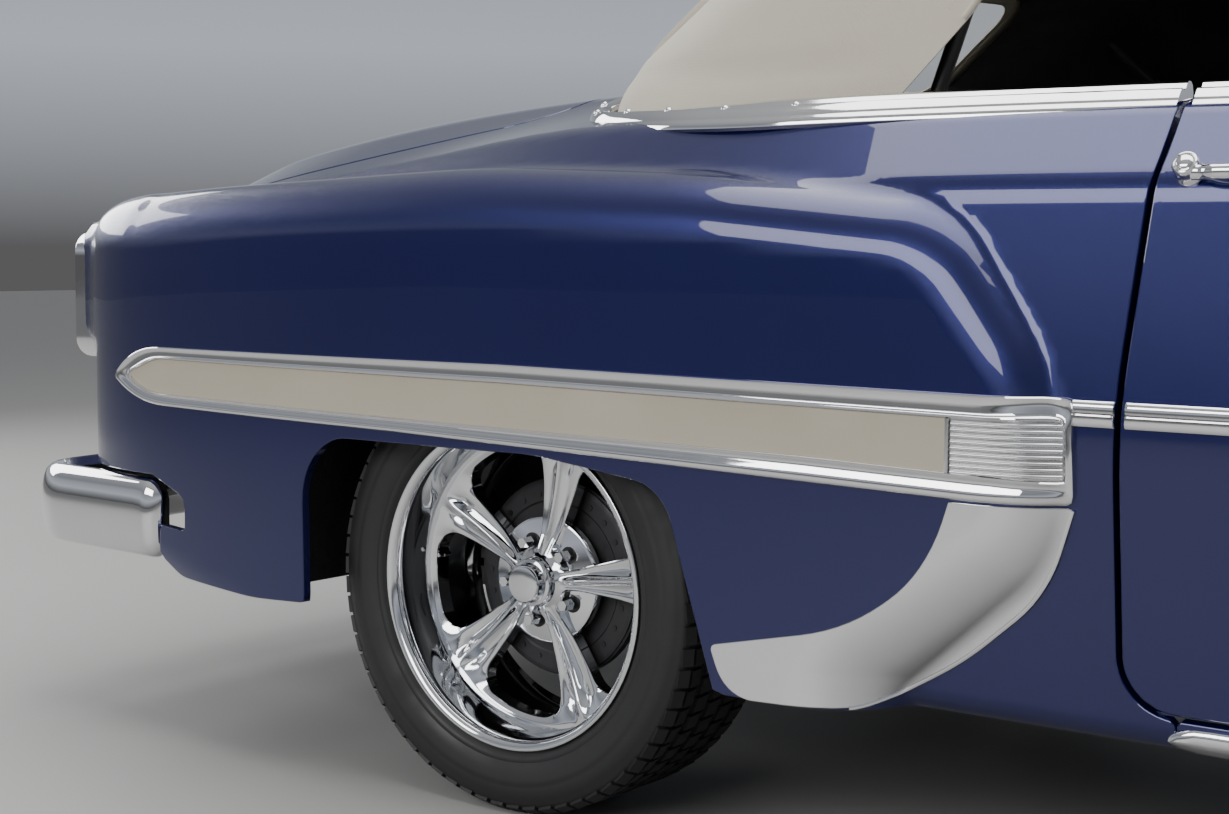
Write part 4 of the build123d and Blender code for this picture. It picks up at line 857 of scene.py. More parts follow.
def placed(piece, body=None, nodes=(), slot=None):
    if body:
        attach(piece, body)
    if nodes:
        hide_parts(*nodes)
    if piece.type == "MESH":
        print(piece.name, len(piece.data.polygons), "faces")
    return piece


def lattice(grid, round_u=False, round_v=False, caps=False):
    """Faces over a grid of points; with caps, its first and last rows are filled."""
    grid = np.asarray(grid)
    n, m = grid.shape[:2]
    faces = [(i * m + j, (i + 1) % n * m + j, (i + 1) % n * m + (j + 1) % m, i * m + (j + 1) % m)
             for i in range(n if round_u else n - 1) for j in range(m if round_v else m - 1)]
    if caps:
        faces += [tuple(range(m)), tuple((n - 1) * m + j for j in reversed(range(m)))]
    return grid.reshape(-1, 3), faces


def along(points, closed=False):
    """Unit tangents of a line of points."""
    points = np.asarray(points, float)
    if closed:
        t = np.roll(points, -1, 0) - np.roll(points, 1, 0)
    else:
        t = np.gradient(points, axis=0)
    return t / np.linalg.norm(t, axis=1)[:, None]


def swept(path, out, section, closed=False):
    """A section of (sideways, outwards) carried along a path whose outward direction is out."""
    path, section = np.asarray(path, float), np.asarray(section, float)
    t = along(path, closed)
    out = np.broadcast_to(out, path.shape)
    out = out - (out * t).sum(1)[:, None] * t
    out = out / np.linalg.norm(out, axis=1)[:, None]
    aside = np.cross(t, out)
    grid = path[:, None] + aside[:, None] * section[None, :, :1] + out[:, None] * section[None, :, 1:]
    return lattice(grid, round_u=closed, round_v=True, caps=not closed)


def circle(r, steps=12, squash_by=1.0):
    a = np.linspace(0, 2 * math.pi, steps, endpoint=False)
    return np.stack([np.cos(a) * r, np.sin(a) * r * squash_by], 1)


def tube(path, r, steps=12, closed=False, out=(0.13, 0.21, 1.0)):
    return swept(path, np.array(out), circle(r, steps), closed)


def turned(profile, centre, axis=(0, 1, 0), steps=48):
    """A profile of (along the axis, radius), in millimetres, turned about an axis; ends on the axis are closed."""
    axis = np.array(axis, float) / np.linalg.norm(axis)
    side_way = np.cross(axis, (0.0, 0.0, 1.0) if abs(axis[2]) < 0.9 else (1.0, 0.0, 0.0))
    side_way /= np.linalg.norm(side_way)
    other = np.cross(axis, side_way)
    a = np.linspace(0, 2 * math.pi, steps, endpoint=False)
    ring = np.cos(a)[:, None] * side_way + np.sin(a)[:, None] * other
    p = np.array(profile, float) / 1000
    grid = np.array(centre) + p[:, 0, None, None] * axis + np.maximum(p[:, 1], 1e-7)[:, None, None] * ring
    return lattice(grid, round_v=True)


def turned_ring(profile, centre, axis, steps):
    """A closed profile turned about an axis, open in the middle."""
    return lattice(turned(profile, centre, axis, steps)[0].reshape(len(profile), steps, 3), True, True)


def run_of(points):
    """Distance along a line of points, at each of them."""
    return np.concatenate([[0], np.cumsum(np.linalg.norm(np.diff(points, axis=0), axis=1))])


def at_run(at, run, points):
    """Rows of a table, read at given distances along its line."""
    return np.stack([np.interp(at, run, points[:, k]) for k in range(points.shape[1])], 1)


def resampled(points, count, closed=False):
    points = np.asarray(points, float)
    if closed:
        points = np.concatenate([points, points[:1]])
    run = run_of(points)
    return at_run(np.linspace(0, run[-1], count, endpoint=not closed), run, points)


def inset(outline, by):
    """A closed outline moved inwards."""
    t = along(outline, True)
    turn = np.sign(np.sum(cross(outline, np.roll(outline, -1, 0))))
    return outline + np.stack([-t[:, 1], t[:, 0]], 1) * by * turn


def slab(outline, place, h0, h1, r=0.003, steps=3, hollow=None):
    """A plate with rounded front edges; place(u, v, h) gives its points, and hollow opens it as a ring."""
    rows = [(outline, h0), (outline, h1 - r)]
    for k in range(1, steps + 1):
        a = math.pi / 2 * k / steps
        rows.append((inset(outline, r * (1 - math.cos(a))), h1 - r + r * math.sin(a)))
    if hollow:
        inner = inset(outline, hollow)
        for k in range(steps, -1, -1):
            a = math.pi / 2 * k / steps
            rows.append((inset(inner, -r * (1 - math.cos(a))), h1 - r + r * math.sin(a)))
        rows.append((inner, h0))
    grid = np.stack([np.stack(place(line[:, 0], line[:, 1], np.full(len(line), h)), 1) for line, h in rows])
    return lattice(grid, round_u=bool(hollow), round_v=True, caps=not hollow)


def soft_box(lo, hi, r=0.006):
    """A block with rounded edges."""
    bm = bmesh.new()
    bmesh.ops.create_cube(bm, size=1.0)
    lo, hi = np.array(lo, float), np.array(hi, float)
    for v in bm.verts:
        v.co = Vector(tuple(lo + (np.array(v.co) + 0.5) * (hi - lo)))
    bmesh.ops.bevel(bm, geom=list(bm.edges), offset=min(r, 0.45 * float((hi - lo).min())), segments=2, profile=0.6,
                    affect="EDGES", clamp_overlap=True)
    bm.verts.index_update()
    made = [tuple(v.co) for v in bm.verts], [tuple(v.index for v in f.verts) for f in bm.faces]
    bm.free()
    return made


# %% [markdown]
# # Geometry Nodes for beads and fasteners
# Two small trees serve the whole car. The first lays a rounded bead along any line, for ribs, welts and seals.
# The second repeats one small shape at marked points, each turned by two stored directions, for studs, nuts,
# stitches and tread blocks. Both realise their instances, and the result is kept as a plain mesh.

# %% Geometry Nodes trees
def new_tree(name, sizes):
    tree = bpy.data.node_groups.new(name, "GeometryNodeTree")
    tree.interface.new_socket("Geometry", in_out="INPUT", socket_type="NodeSocketGeometry")
    for label, value in sizes.items():
        socket = tree.interface.new_socket(label, in_out="INPUT", socket_type="NodeSocketFloat")
        socket.default_value = value
    tree.interface.new_socket("Geometry", in_out="OUTPUT", socket_type="NodeSocketGeometry")
    return tree, tree.nodes.new("NodeGroupInput"), tree.nodes.new("NodeGroupOutput")


def step(tree, kind, links=(), **settings):
    """A node, its settings, and links or values for its inputs by name or number."""
    node = tree.nodes.new(kind)
    for key, value in settings.items():
        setattr(node, key, value)
    for key, value in dict(links).items():
        if isinstance(value, bpy.types.NodeSocket):
            tree.links.new(value, node.inputs[key])
        else:
            node.inputs[key].default_value = value
    return node


def finish_tree(tree, out, geometry, material):
    real = step(tree, "GeometryNodeRealizeInstances", {"Geometry": geometry})
    smooth = step(tree, "GeometryNodeSetShadeSmooth", {"Geometry": real.outputs[0]})
    painted = step(tree, "GeometryNodeSetMaterial", {"Geometry": smooth.outputs[0], "Material": material})
    tree.links.new(painted.outputs[0], out.inputs[0])


def bead_tree(material, steps=8):
    tree, given, out = new_tree("bead_along_lines", {"Width": 0.004, "Height": 0.003})
    curve = step(tree, "GeometryNodeMeshToCurve", {"Mesh": given.outputs["Geometry"]})
    ring = step(tree, "GeometryNodeCurvePrimitiveCircle", {"Resolution": steps, "Radius": 0.5})
    size = step(tree, "ShaderNodeCombineXYZ", {0: given.outputs["Height"], 1: given.outputs["Width"], 2: 1.0})
    oval = step(tree, "GeometryNodeTransform", {"Geometry": ring.outputs[0], "Scale": size.outputs[0]})
    laid = step(tree, "GeometryNodeCurveToMesh", {"Curve": curve.outputs[0], "Profile Curve": oval.outputs[0],
                                                  "Fill Caps": True})
    finish_tree(tree, out, laid.outputs[0], material)
    return tree


def fastener_tree(material, kind, settings, vary=0.0, seed=7):
    """Repeats a primitive of unit size at points, with its z along 'aim' and its x along 'run'."""
    tree, given, out = new_tree("fastener_at_points", {"Length": 0.01, "Width": 0.01, "Height": 0.01})
    unit = step(tree, kind, settings)
    aim = step(tree, "GeometryNodeInputNamedAttribute", {"Name": "aim"}, data_type="FLOAT_VECTOR")
    run = step(tree, "GeometryNodeInputNamedAttribute", {"Name": "run"}, data_type="FLOAT_VECTOR")
    turn = step(tree, "FunctionNodeAxesToRotation", {"Primary Axis": aim.outputs[0],
                                                     "Secondary Axis": run.outputs[0]},
                primary_axis="Z", secondary_axis="X")
    size = step(tree, "ShaderNodeCombineXYZ", {0: given.outputs["Length"], 1: given.outputs["Width"],
                                               2: given.outputs["Height"]})
    chance = step(tree, "FunctionNodeRandomValue", {"Min": 1.0 - vary, "Max": 1.0 + vary, "Seed": seed},
                  data_type="FLOAT")
    scaled = step(tree, "ShaderNodeVectorMath", {0: size.outputs[0], "Scale": chance.outputs["Value"]},
                  operation="SCALE")
    there = step(tree, "GeometryNodeInstanceOnPoints",
                 {"Points": given.outputs["Geometry"], "Instance": unit.outputs[0], "Rotation": turn.outputs[0],
                  "Scale": scaled.outputs[0]})
    finish_tree(tree, out, there.outputs[0], material)
    return tree


def from_tree(name, tree, sizes, points, edges=(), marks=None, sharp=38, **place):
    """A plain mesh made by a tree over points and edges; marks are vectors stored on the points."""
    seed_mesh = bpy.data.meshes.new(name)
    seed_mesh.from_pydata([tuple(map(float, p)) for p in points], [tuple(e) for e in edges], [])
    for label, vectors in (marks or {}).items():
        stored = seed_mesh.attributes.new(label, "FLOAT_VECTOR", "POINT")
        stored.data.foreach_set("vector", np.asarray(vectors, float).ravel())
    seed_object = new_object(name + "_seed", seed_mesh)
    modifier = seed_object.modifiers.new("nodes", "NODES")
    modifier.node_group = tree
    for item in tree.interface.items_tree:
        if item.in_out == "INPUT" and item.name in sizes:
            modifier[item.identifier] = sizes[item.name]
    ready = seed_object.evaluated_get(bpy.context.evaluated_depsgraph_get())
    mesh = bpy.data.meshes.new_from_object(ready)
    bpy.data.objects.remove(seed_object)
    mesh.name = name
    mesh.set_sharp_from_angle(angle=math.radians(sharp))
    return placed(new_object(name, mesh), **place)


def mirror_parts(parts):
    """The same parts on the other side of the car."""
    return [(np.asarray(p) * (1, -1, 1), f) for p, f in parts]


def lines_to_edges(lines):
    """Points and edges of several open lines."""
    points, edges, count = [], [], 0
    for line in lines:
        points.append(np.asarray(line))
        edges += [(count + k, count + k + 1) for k in range(len(line) - 1)]
        count += len(line)
    return np.concatenate(points), edges

# %% [markdown]
# # The side mouldings
# A bright spear runs along the rear fender: a plated frame round a painted insert, with a small comb of ribs at
# its front. It is stamped from one strip, so its frame is built as one band between two outlines: a bead at the
# outside, a flat land, and a thin raised lip round the insert. The band is laid on the fender's skin, so it
# follows it everywhere.

# %% Places on the skin
def crossing(field, place, count, lo, hi, rounds):
    """How far along each line a field turns positive; place(t) gives the lines' points at distances t."""
    lo, hi = np.full(count, lo), np.full(count, hi)
    for k in range(rounds):
        mid = (lo + hi) / 2
        out = field(place(mid)) > 0
        hi, lo = np.where(out, mid, hi), np.where(out, lo, mid)
    return hi


def side_skin(x, z, height=0.0):
    """Points and normals on the left side's skin at each (x, z), raised by height."""
    x, z, height = np.broadcast_arrays(np.asarray(x, float), np.asarray(z, float), np.asarray(height, float))
    shape = x.shape
    x, z = x.ravel(), z.ravel()
    y = crossing(form, lambda t: np.stack([x, t, z], 1), len(x), 0.5, 1.02, 15)
    p = np.stack([x, y, z], 1)
    n = normals(p)
    return (p + n * height.ravel()[:, None]).reshape(shape + (3,)), n.reshape(shape + (3,))


def top_skin(x, y):
    """Height of the skin above each (x, y)."""
    x, y = np.broadcast_arrays(np.asarray(x, float), np.asarray(y, float))
    shape = x.shape
    x, y = x.ravel(), y.ravel()
    return crossing(form, lambda t: np.stack([x, y, t], 1), len(x), 0.7, 1.2, 15).reshape(shape)


def chain(loop, start, end, count):
    """Part of a closed outline from near one point to near another, in its own direction."""
    dense = resampled(loop, 4000, True)
    a, b = [int(np.argmin(np.hypot(*(dense - np.array(q) / 1000).T))) for q in (start, end)]
    return resampled(np.take(dense, np.arange(a, b + (len(dense) if b <= a else 0)), 0, mode="wrap"), count)


# %% Spear frame
SPEAR = [(-2112, 610, 6), (-2032, 568, 310), (-1390, 560, 0), (-470, 535, 0), (-360, 536, 8), (-360, 661, 8),
         (-1200, 669, 0), (-2042, 664, 215)]
OPENING = [(-2066, 616, 5), (-2000, 588, 200), (-700, 574, 0), (-372, 564, 3), (-372, 631, 3), (-1200, 642, 0),
           (-1975, 645, 150)]
LAND = [0, 0.0, 0.04, 0.10, 0.18, 0.28, 0.42, 0.56, 0.66, 0.74, 0.80, 0.86, 0.92, 0.97, 1.0]
LOWER = [-1, 4.0, 6.6, 8.2, 9.0, 9.0, 8.6, 6.6, 5.6, 5.6, 6.4, 8.0, 8.8, 7.6, 3.6]
UPPER = [-1, 4.0, 7.6, 8.8, 7.8, 6.8, 6.6, 6.6, 6.6, 6.6, 7.2, 8.8, 9.0, 7.6, 3.6]
UPRIGHT = [-1, 4.0, 7.0, 8.6, 8.8, 8.8, 8.8, 8.8, 8.8, 8.8, 8.6, 8.2, 7.6, 6.4, 3.6]
outer_loop, inner_loop = rounded(SPEAR), rounded(OPENING)
outer_path, inner_path, heights = [], [], []
for count, profile, ends in ((240, LOWER, (0, 4, 0, 3)), (16, UPRIGHT, (4, 5, 3, 4)), (240, UPPER, (5, 0, 4, 0))):
    outer_path.append(chain(outer_loop, SPEAR[ends[0]][:2], SPEAR[ends[1]][:2], count)[:-1])
    inner_path.append(chain(inner_loop, OPENING[ends[2]][:2], OPENING[ends[3]][:2], count)[:-1])
    heights += [profile] * (count - 1)
outer_path, inner_path = np.concatenate(outer_path), np.concatenate(inner_path)
heights = np.array(heights, float)
for k in range(3):
    heights = (np.roll(heights, 1, 0) + 2 * heights + np.roll(heights, -1, 0)) / 4
t = np.array(LAND)[None, :, None]
band = outer_path[:, None] * (1 - t) + inner_path[:, None] * t
frame_grid = side_skin(band[..., 0], band[..., 1], heights / 1000)[0]
spear = lattice(frame_grid, round_u=True)


def strip_on_skin(x0, x1, low, high, profile, step_x=0.02):
    """A strip between two heights; profile is (across, height in mm), and its ends are rounded off."""
    xs = np.concatenate([[x0, x0, x0 + 0.0012, x0 + 0.004], np.linspace(x0 + 0.012, x1 - 0.012,
                         max(3, int((x1 - x0) / step_x))), [x1 - 0.004, x1 - 0.0012, x1, x1]])
    keep = np.ones(len(xs))
    keep[[0, 1, 2, -3, -2, -1]] = 0, 0.6, 0.9, 0.9, 0.6, 0
    across, rise = np.array(profile).T
    lo, hi = [f(xs) if callable(f) else np.full(len(xs), f) for f in (low, high)]
    z = lo[:, None] + (hi - lo)[:, None] * across[None]
    h = (rise[None] + 1) * keep[:, None] - 1
    return lattice(side_skin(xs[:, None], z, h / 1000)[0])


STRIP = [(0, -1), (0, 3.6), (0.07, 5.6), (0.2, 6.8), (0.42, 6.6), (0.48, 5.2), (0.54, 5.2), (0.6, 6.6), (0.78, 7.0),
         (0.92, 5.8), (1, 3.4), (1, -1)]
SILL_STRIP = [(0, -1), (0, 2), (0.1, 4.5), (0.35, 7.0), (0.55, 8.6), (0.62, 8.8), (0.8, 6.6), (0.93, 4.4), (1, 2.2),
              (1, -1)]
STRIP_LOW, STRIP_HIGH = 0.629, 0.659
SILL_Z_MID, SILL_HALF = 0.2705, 0.0155
stub = strip_on_skin(-0.378, -0.312, STRIP_LOW, STRIP_HIGH, STRIP, 0.008)
fender_strip = strip_on_skin(0.914, 2.13, STRIP_LOW, STRIP_HIGH, STRIP)


def sill_half(x):
    """Half the sill strip's height, drawn in to a round end at the rear."""
    round_end = np.sqrt(np.clip(1 - ((x + 0.255) / 0.045 - 1) ** 2, 0, 1))
    return SILL_HALF * round_end * (x < -0.21) + SILL_HALF * (x >= -0.21)


sill_strip = strip_on_skin(-0.255, 1.24, lambda x: SILL_Z_MID - sill_half(x), lambda x: SILL_Z_MID + sill_half(x),
                           SILL_STRIP)
piece_of("side_mouldings_bright", [spear, stub, fender_strip, sill_strip], bright, 30, "body", ["side_mouldings"],
         "chrome", sides=True)

# %% Insert, comb and ribs
insert_x = np.concatenate([[-2.0655, -2.063, -2.058, -2.05, -2.04], np.linspace(-2.025, -0.505, 130)])
hole_low = chain(inner_loop, OPENING[0][:2], OPENING[3][:2], 900)
hole_high = chain(inner_loop, OPENING[4][:2], OPENING[0][:2], 900)[::-1]


def between_lips(xs, count, height, crown):
    low, high = np.interp(xs, *hole_low.T), np.interp(xs, *hole_high.T)
    t = np.linspace(0, 1, count)
    z = low[:, None] + (high - low)[:, None] * t[None]
    return lattice(side_skin(xs[:, None], z, height + crown * np.sin(math.pi * t)[None])[0])


piece_of("spear_insert_painted", [between_lips(insert_x, 12, 0.0042, 0.0012)], insert_beige, 50, "body",
         ["spear_inserts"], "insert_paint", sides=True)
piece_of("spear_comb_floor", [between_lips(np.linspace(-0.503, -0.370, 12), 6, 0.0032, 0.0)], soft_bright, 50, "body",
         (), "chrome", sides=True)
COMB_PITCH, COMB_RIBS = 0.0072, 9
ribs = [side_skin(np.linspace(-0.4985, -0.3745, 14), 0.5695 + COMB_PITCH * k, 0.0048)[0] for k in range(COMB_RIBS)]
ribs.append(side_skin(-0.504, np.linspace(0.5675, 0.6325, 8), 0.0056)[0])
ribs += [r * (1, -1, 1) for r in ribs]
from_tree("spear_comb_ribs", bead_tree(bright, 10), {"Width": 0.0052, "Height": 0.0056}, *lines_to_edges(ribs),
          body="body", slot="chrome")

# %% [markdown]
# # The stone guard
# Below the spear a plated crescent keeps stones off the fender's front. It is a sheet pressed over the fender,
# so it is cut from the same skin, with its edge folded in, and a narrow bead stands along its front edge.

# %% Stone guard
GUARD = [(-502, 533, 0), (-530, 445, 200), (-640, 362, 300), (-842, 318, 8), (-815, 251, 60), (-640, 257, 80),
         (-520, 322, 500), (-400, 425, 200), (-362, 533, 0)]
guard_patch = skin_patch(np.linspace(-0.88, -0.33, 130), np.linspace(-0.50, -0.06, 110))
guard = pressed("stone_guards_bright", side(rounded(GUARD)), bright, 0.0008, 0.0016, guard_patch, False, 0.0030)
placed(guard, "body", ["stone_guards"], "chrome")
guard_edge = chain(rounded(GUARD), (-650, 262), (-362, 530), 60)
guard_bead = side_skin(guard_edge[:, 0], guard_edge[:, 1], 0.0034)[0]
from_tree("stone_guard_beads", bead_tree(bright, 8), {"Width": 0.0058, "Height": 0.0042},
          *lines_to_edges([guard_bead, guard_bead * (1, -1, 1)]), body="body", slot="chrome")


def on_doors(part, shapes, sharp, nodes=((), ())):
    """A bright part on the left door, and its mirror image on the right one."""
    piece_of(part.format("left"), shapes, bright, sharp, "door_left", nodes[0], "chrome")
    piece_of(part.format("right"), mirror_parts(shapes), bright, sharp, "door_right", nodes[1], "chrome")


on_doors("door_{}_strip", [strip_on_skin(-0.300, 0.886, STRIP_LOW, STRIP_HIGH, STRIP)], 30,
         (["door_left_trim"], ["door_right_trim"]))

# %% [markdown]
# # The belt moulding
# A bright moulding frames the opening of the cabin and runs over the doors. It holds the edge of the fabric top
# behind the seats, where round snap studs stand in its groove. Its section has a bead on top, the groove, a
# sloping face and a lower lip. It is carried along the opening's outline, so its corners match the body's.

# %% Belt moulding
BELT = [(1, -14), (1, 10), (4, 18), (9, 22), (16, 22), (22, 18), (25, 13), (28, 11), (33, 11), (36, 12.5), (41, 9),
        (46, 3), (49, -2), (50, -4), (53, -6), (56, -12), (56, -16), (52, -20)]
cockpit_loop = rounded(symmetric(COCKPIT))
cockpit_dense = resampled(cockpit_loop, 3000, True)


def belt_run(x_from, x_to, whole):
    """Stations of the belt on the left side from one x to another; whole carries on round the back."""
    c = cockpit_dense
    t = along(c, True)
    n = np.stack([t[:, 1], -t[:, 0]], 1)
    n *= np.sign(np.sum(n * (c - (-0.3, 0.0)), 1))[:, None]
    rows = np.concatenate([c, n], 1)
    keep = rows[(rows[:, 0] < x_from) & (rows[:, 0] > x_to) & (rows[:, 1] > 1e-4)]
    keep = keep[np.argsort(-keep[:, 0] + 2.0 * np.maximum(0.62 - keep[:, 1], 0))]
    picked = keep[np.unique(np.concatenate([np.arange(0, len(keep), 10), [len(keep) - 1]]))]
    if whole:
        other = picked[::-1] * (1, -1, 1, -1)
        picked = np.concatenate([picked, [[picked[-1, 0], 0, -1, 0]], other])
    return picked


def belt_grid(rows, lift_bead):
    o, h = np.array(BELT).T / 1000
    narrow = 1 - 0.46 * np.clip((-1.00 - rows[:, 0]) / 0.22, 0, 1)
    x = rows[:, 0, None] + rows[:, 2, None] * o * narrow[:, None]
    y = rows[:, 1, None] + rows[:, 3, None] * o * narrow[:, None]
    mid = top_skin(rows[:, 0] + rows[:, 2] * 0.020, rows[:, 1] + rows[:, 3] * 0.020)
    base = mid[:, None] + np.zeros_like(x)
    bead = np.clip((0.030 - o) / 0.010, 0, 1)
    low = np.clip((rows[:, 0] + 1.15) / 0.30, 0.35, 1) if lift_bead else np.ones(len(rows))
    return np.stack([x, y, base + h - np.where(h > 0, h, 0) * bead * 0.55 * (1 - low[:, None])], 2)


rear_rows = belt_run(-0.285, -1.5, True)
rear_belt = belt_grid(rear_rows, True)
piece_of("belt_moulding_rear", [lattice(rear_belt, round_v=True, caps=True)], bright, 35, "body", ["belt_moulding"],
         "chrome")
on_doors("belt_moulding_door_{}",
         [lattice(belt_grid(belt_run(0.858, -0.269, False), False), round_v=True, caps=True)], 35)
STUD_PITCH, FIRST_STUD_X, GROOVE_COLUMN = 0.113, -0.77, 8
stud_run = run_of(rear_rows[:, :2])
half_way = len(rear_rows) // 2
first = np.interp(-FIRST_STUD_X, -rear_rows[:half_way, 0], stud_run[:half_way])
stud_at = np.arange(first, stud_run[-1] - first + 0.01, STUD_PITCH)
groove = at_run(stud_at, stud_run, rear_belt[:, GROOVE_COLUMN])
outward = np.concatenate([at_run(stud_at, stud_run, rear_rows[:, 2:]), np.full((len(stud_at), 1), 0.55)], 1)
studs = fastener_tree(bright, "GeometryNodeMeshUVSphere", {"Segments": 16, "Rings": 8, "Radius": 0.5})
from_tree("belt_snap_studs", studs, {"Length": 0.013, "Width": 0.013, "Height": 0.010}, groove, (),
          {"aim": outward, "run": np.tile((0.0, 0.0, 1.0), (len(groove), 1))}, body="body", slot="chrome")

# %% [markdown]
# # Door handles
# Each door has a fixed pull bar with a round push button at its rear end, both plated castings on short posts.

# %% Door handles
HANDLE_Z = 0.918
button_at, button_n = side_skin(-0.242, HANDLE_Z)
button_at, button_n = button_at.reshape(3), button_n.reshape(3)
button = turned([(-4, 0), (-4, 17), (2, 17), (4, 15.5), (12, 15), (13, 15.5), (19, 15.5), (21.5, 14), (22, 12.5),
                 (21, 11.5), (21, 9.5), (23.5, 9), (25, 7), (25.5, 0)], button_at, button_n, 32)
bar_x = np.linspace(-0.234, -0.088, 26)
bar_at = side_skin(bar_x, HANDLE_Z)[0]
bar_path = np.stack([bar_x, bar_at[:, 1]
                     + 0.026 * np.sin(np.clip((bar_x + 0.234) / 0.03, 0.45, 1) * math.pi / 2)
                     * np.clip((-0.086 - bar_x) / 0.012, 0.25, 1) ** 0.5, np.full(26, HANDLE_Z)], 1)
handle_bar = swept(bar_path, np.array([0.0, 1.0, 0.0]), circle(0.0085, 14, 0.62))
post = turned([(-4, 0), (-4, 12), (3, 12), (6, 9.5), (22, 9), (22, 0)], side_skin(-0.108, HANDLE_Z)[0].reshape(3),
              button_n, 24)
on_doors("door_{}_handle", [button, handle_bar, post], 40)

# %% [markdown]
# # The cast wheels
# The wheels are modern castings: a deep polished lip, and five spokes that dish inwards and flare where they
# meet the rim. A spoke disc is a height map over the wheel's plane: a dished base, a thin ridge along each
# spoke, hollows beside it, and windows cut out with generous corner radii. So it is meshed flat, lifted by one
# function, and its edges are rounded like the body's panels.

# %% The spoke disc
WHEEL_AT = {"wheel_front_left": (1.663, 0.720), "wheel_front_right": (1.663, -0.720),
            "wheel_rear_left": (-1.258, 0.747), "wheel_rear_right": (-1.258, -0.747)}
AXLE_Z, SPOKES, SPOKE_TURN = 0.335, 5, math.radians(6)
SPOKE_WIDTH = np.array([(30, 14), (50, 14.5), (75, 17.5), (100, 23), (140, 30), (175, 37), (224, 44)]) / 1000
DISH = np.array([(30, 34), (50, 30), (80, 23.5), (110, 20.5), (150, 21), (185, 26), (203, 30), (224, 33)]) / 1000
HUB_R, WINDOW_R, RING_R = 0.049, 0.2035, 0.2235


def spoke_place(p):
    """Radius, and distance aside from the nearest spoke's middle line, of points in the wheel's plane."""
    r = np.hypot(p[:, 0], p[:, 2])
    pitch = 2 * math.pi / SPOKES
    turn = np.arctan2(p[:, 2], p[:, 0]) - SPOKE_TURN
    turn = (turn + pitch / 2) % pitch - pitch / 2
    return r, r * np.sin(turn)


def casting_edge(p):
    """Distance from the metal's edge, negative in the metal."""
    r, s = spoke_place(p)
    gap = np.interp(r, *SPOKE_WIDTH.T) - np.abs(s)
    window = round_and(round_and(gap, r - WINDOW_R, 0.036), HUB_R - r, 0.008)
    return np.maximum(-window, r - RING_R)


def casting_height(p):
    r, s = spoke_place(p)
    half = np.interp(r, *SPOKE_WIDTH.T)
    across = np.clip(np.abs(s) / half, 0, 1.4)
    smooth_dish = sum(np.interp(r + k, *DISH.T) for k in (-0.012, -0.006, 0, 0.006, 0.012)) / 5
    along_spoke = np.clip((r - 0.040) / 0.03, 0, 1) * np.clip((0.214 - r) / 0.025, 0, 1)
    ridge = 0.0058 * np.exp(-(s / 0.0034) ** 2) * along_spoke
    hollow = 0.0036 * np.exp(-((np.abs(s) - 0.5 * half) / (0.26 * half)) ** 2) * along_spoke
    drop = 0.0058 * np.exp(-((r - 0.186) / 0.017) ** 2 - ((np.abs(s) - 0.013) / 0.0052) ** 2)
    return smooth_dish + ridge - hollow - drop - 0.0045 * across ** 3 * along_spoke


def casting_normals(p):
    h, n = 0.0012, np.zeros_like(p)
    n[:, 1] = 1
    for k in (0, 2):
        n[:, k] = -(casting_height(p + np.eye(3)[k] * h) - casting_height(p - np.eye(3)[k] * h)) / (2 * h)
    return n / np.linalg.norm(n, axis=1)[:, None]


SPOKE_RAYS, EDGE_FOLD = 300, 0.0030
rs = np.concatenate([np.arange(0.031, RING_R, 0.0042), [RING_R]])
turns = np.linspace(0, 2 * math.pi, SPOKE_RAYS + 1)[:-1]
disc = np.stack([np.outer(rs, np.cos(turns)), np.zeros((len(rs), SPOKE_RAYS)), np.outer(rs, np.sin(turns))], 2)
disc = disc.reshape(-1, 3)
edge_now = casting_edge(disc) + EDGE_FOLD * (np.hypot(disc[:, 0], disc[:, 2]) < 0.215)
p, f, _ = clip(disc, grid_faces(len(rs), SPOKE_RAYS, True), edge_now)
f = collapse_short(p, f, len(disc), 0.0012)
p, f = compact(p, f)
p[:, 1] = casting_height(p)
n = casting_normals(p)


def casting_back(q, m):
    q = q.copy()
    r = np.hypot(q[:, 0], q[:, 2])
    q[:, 1] = np.interp(r, [0.03, 0.06, 0.15, 0.224], [-0.006, -0.004, -0.002, 0.004])
    return q


casting, casting_faces, casting_loops = edged(p, f, n, casting_edge, casting_back, EDGE_FOLD)
a, b, c = [casting[casting_faces[:, k]] for k in range(3)]
if (np.cross(b - a, c - a) * casting_loops.mean(1)).sum() < 0:
    casting_faces, casting_loops = casting_faces[:, ::-1], casting_loops[:, ::-1]
print("spoke disc", len(casting_faces), "triangles")


def at_wheel(name, points):
    """Points of the wheel's own frame, with y outwards, put on a wheel."""
    x, y = WHEEL_AT[name]
    return np.asarray(points) * (1, math.copysign(1, y), 1) + (x, y, AXLE_Z)


for name in WHEEL_AT:
    faces, loops = casting_faces, casting_loops
    if WHEEL_AT[name][1] < 0:
        faces, loops = faces[:, ::-1], (loops * (1, -1, 1))[:, ::-1]
    spoke_disc = shaded(name + "_spokes", at_wheel(name, casting), faces, loops, alloy)
    placed(spoke_disc, name, [name + "_rim"], "polished_alloy")

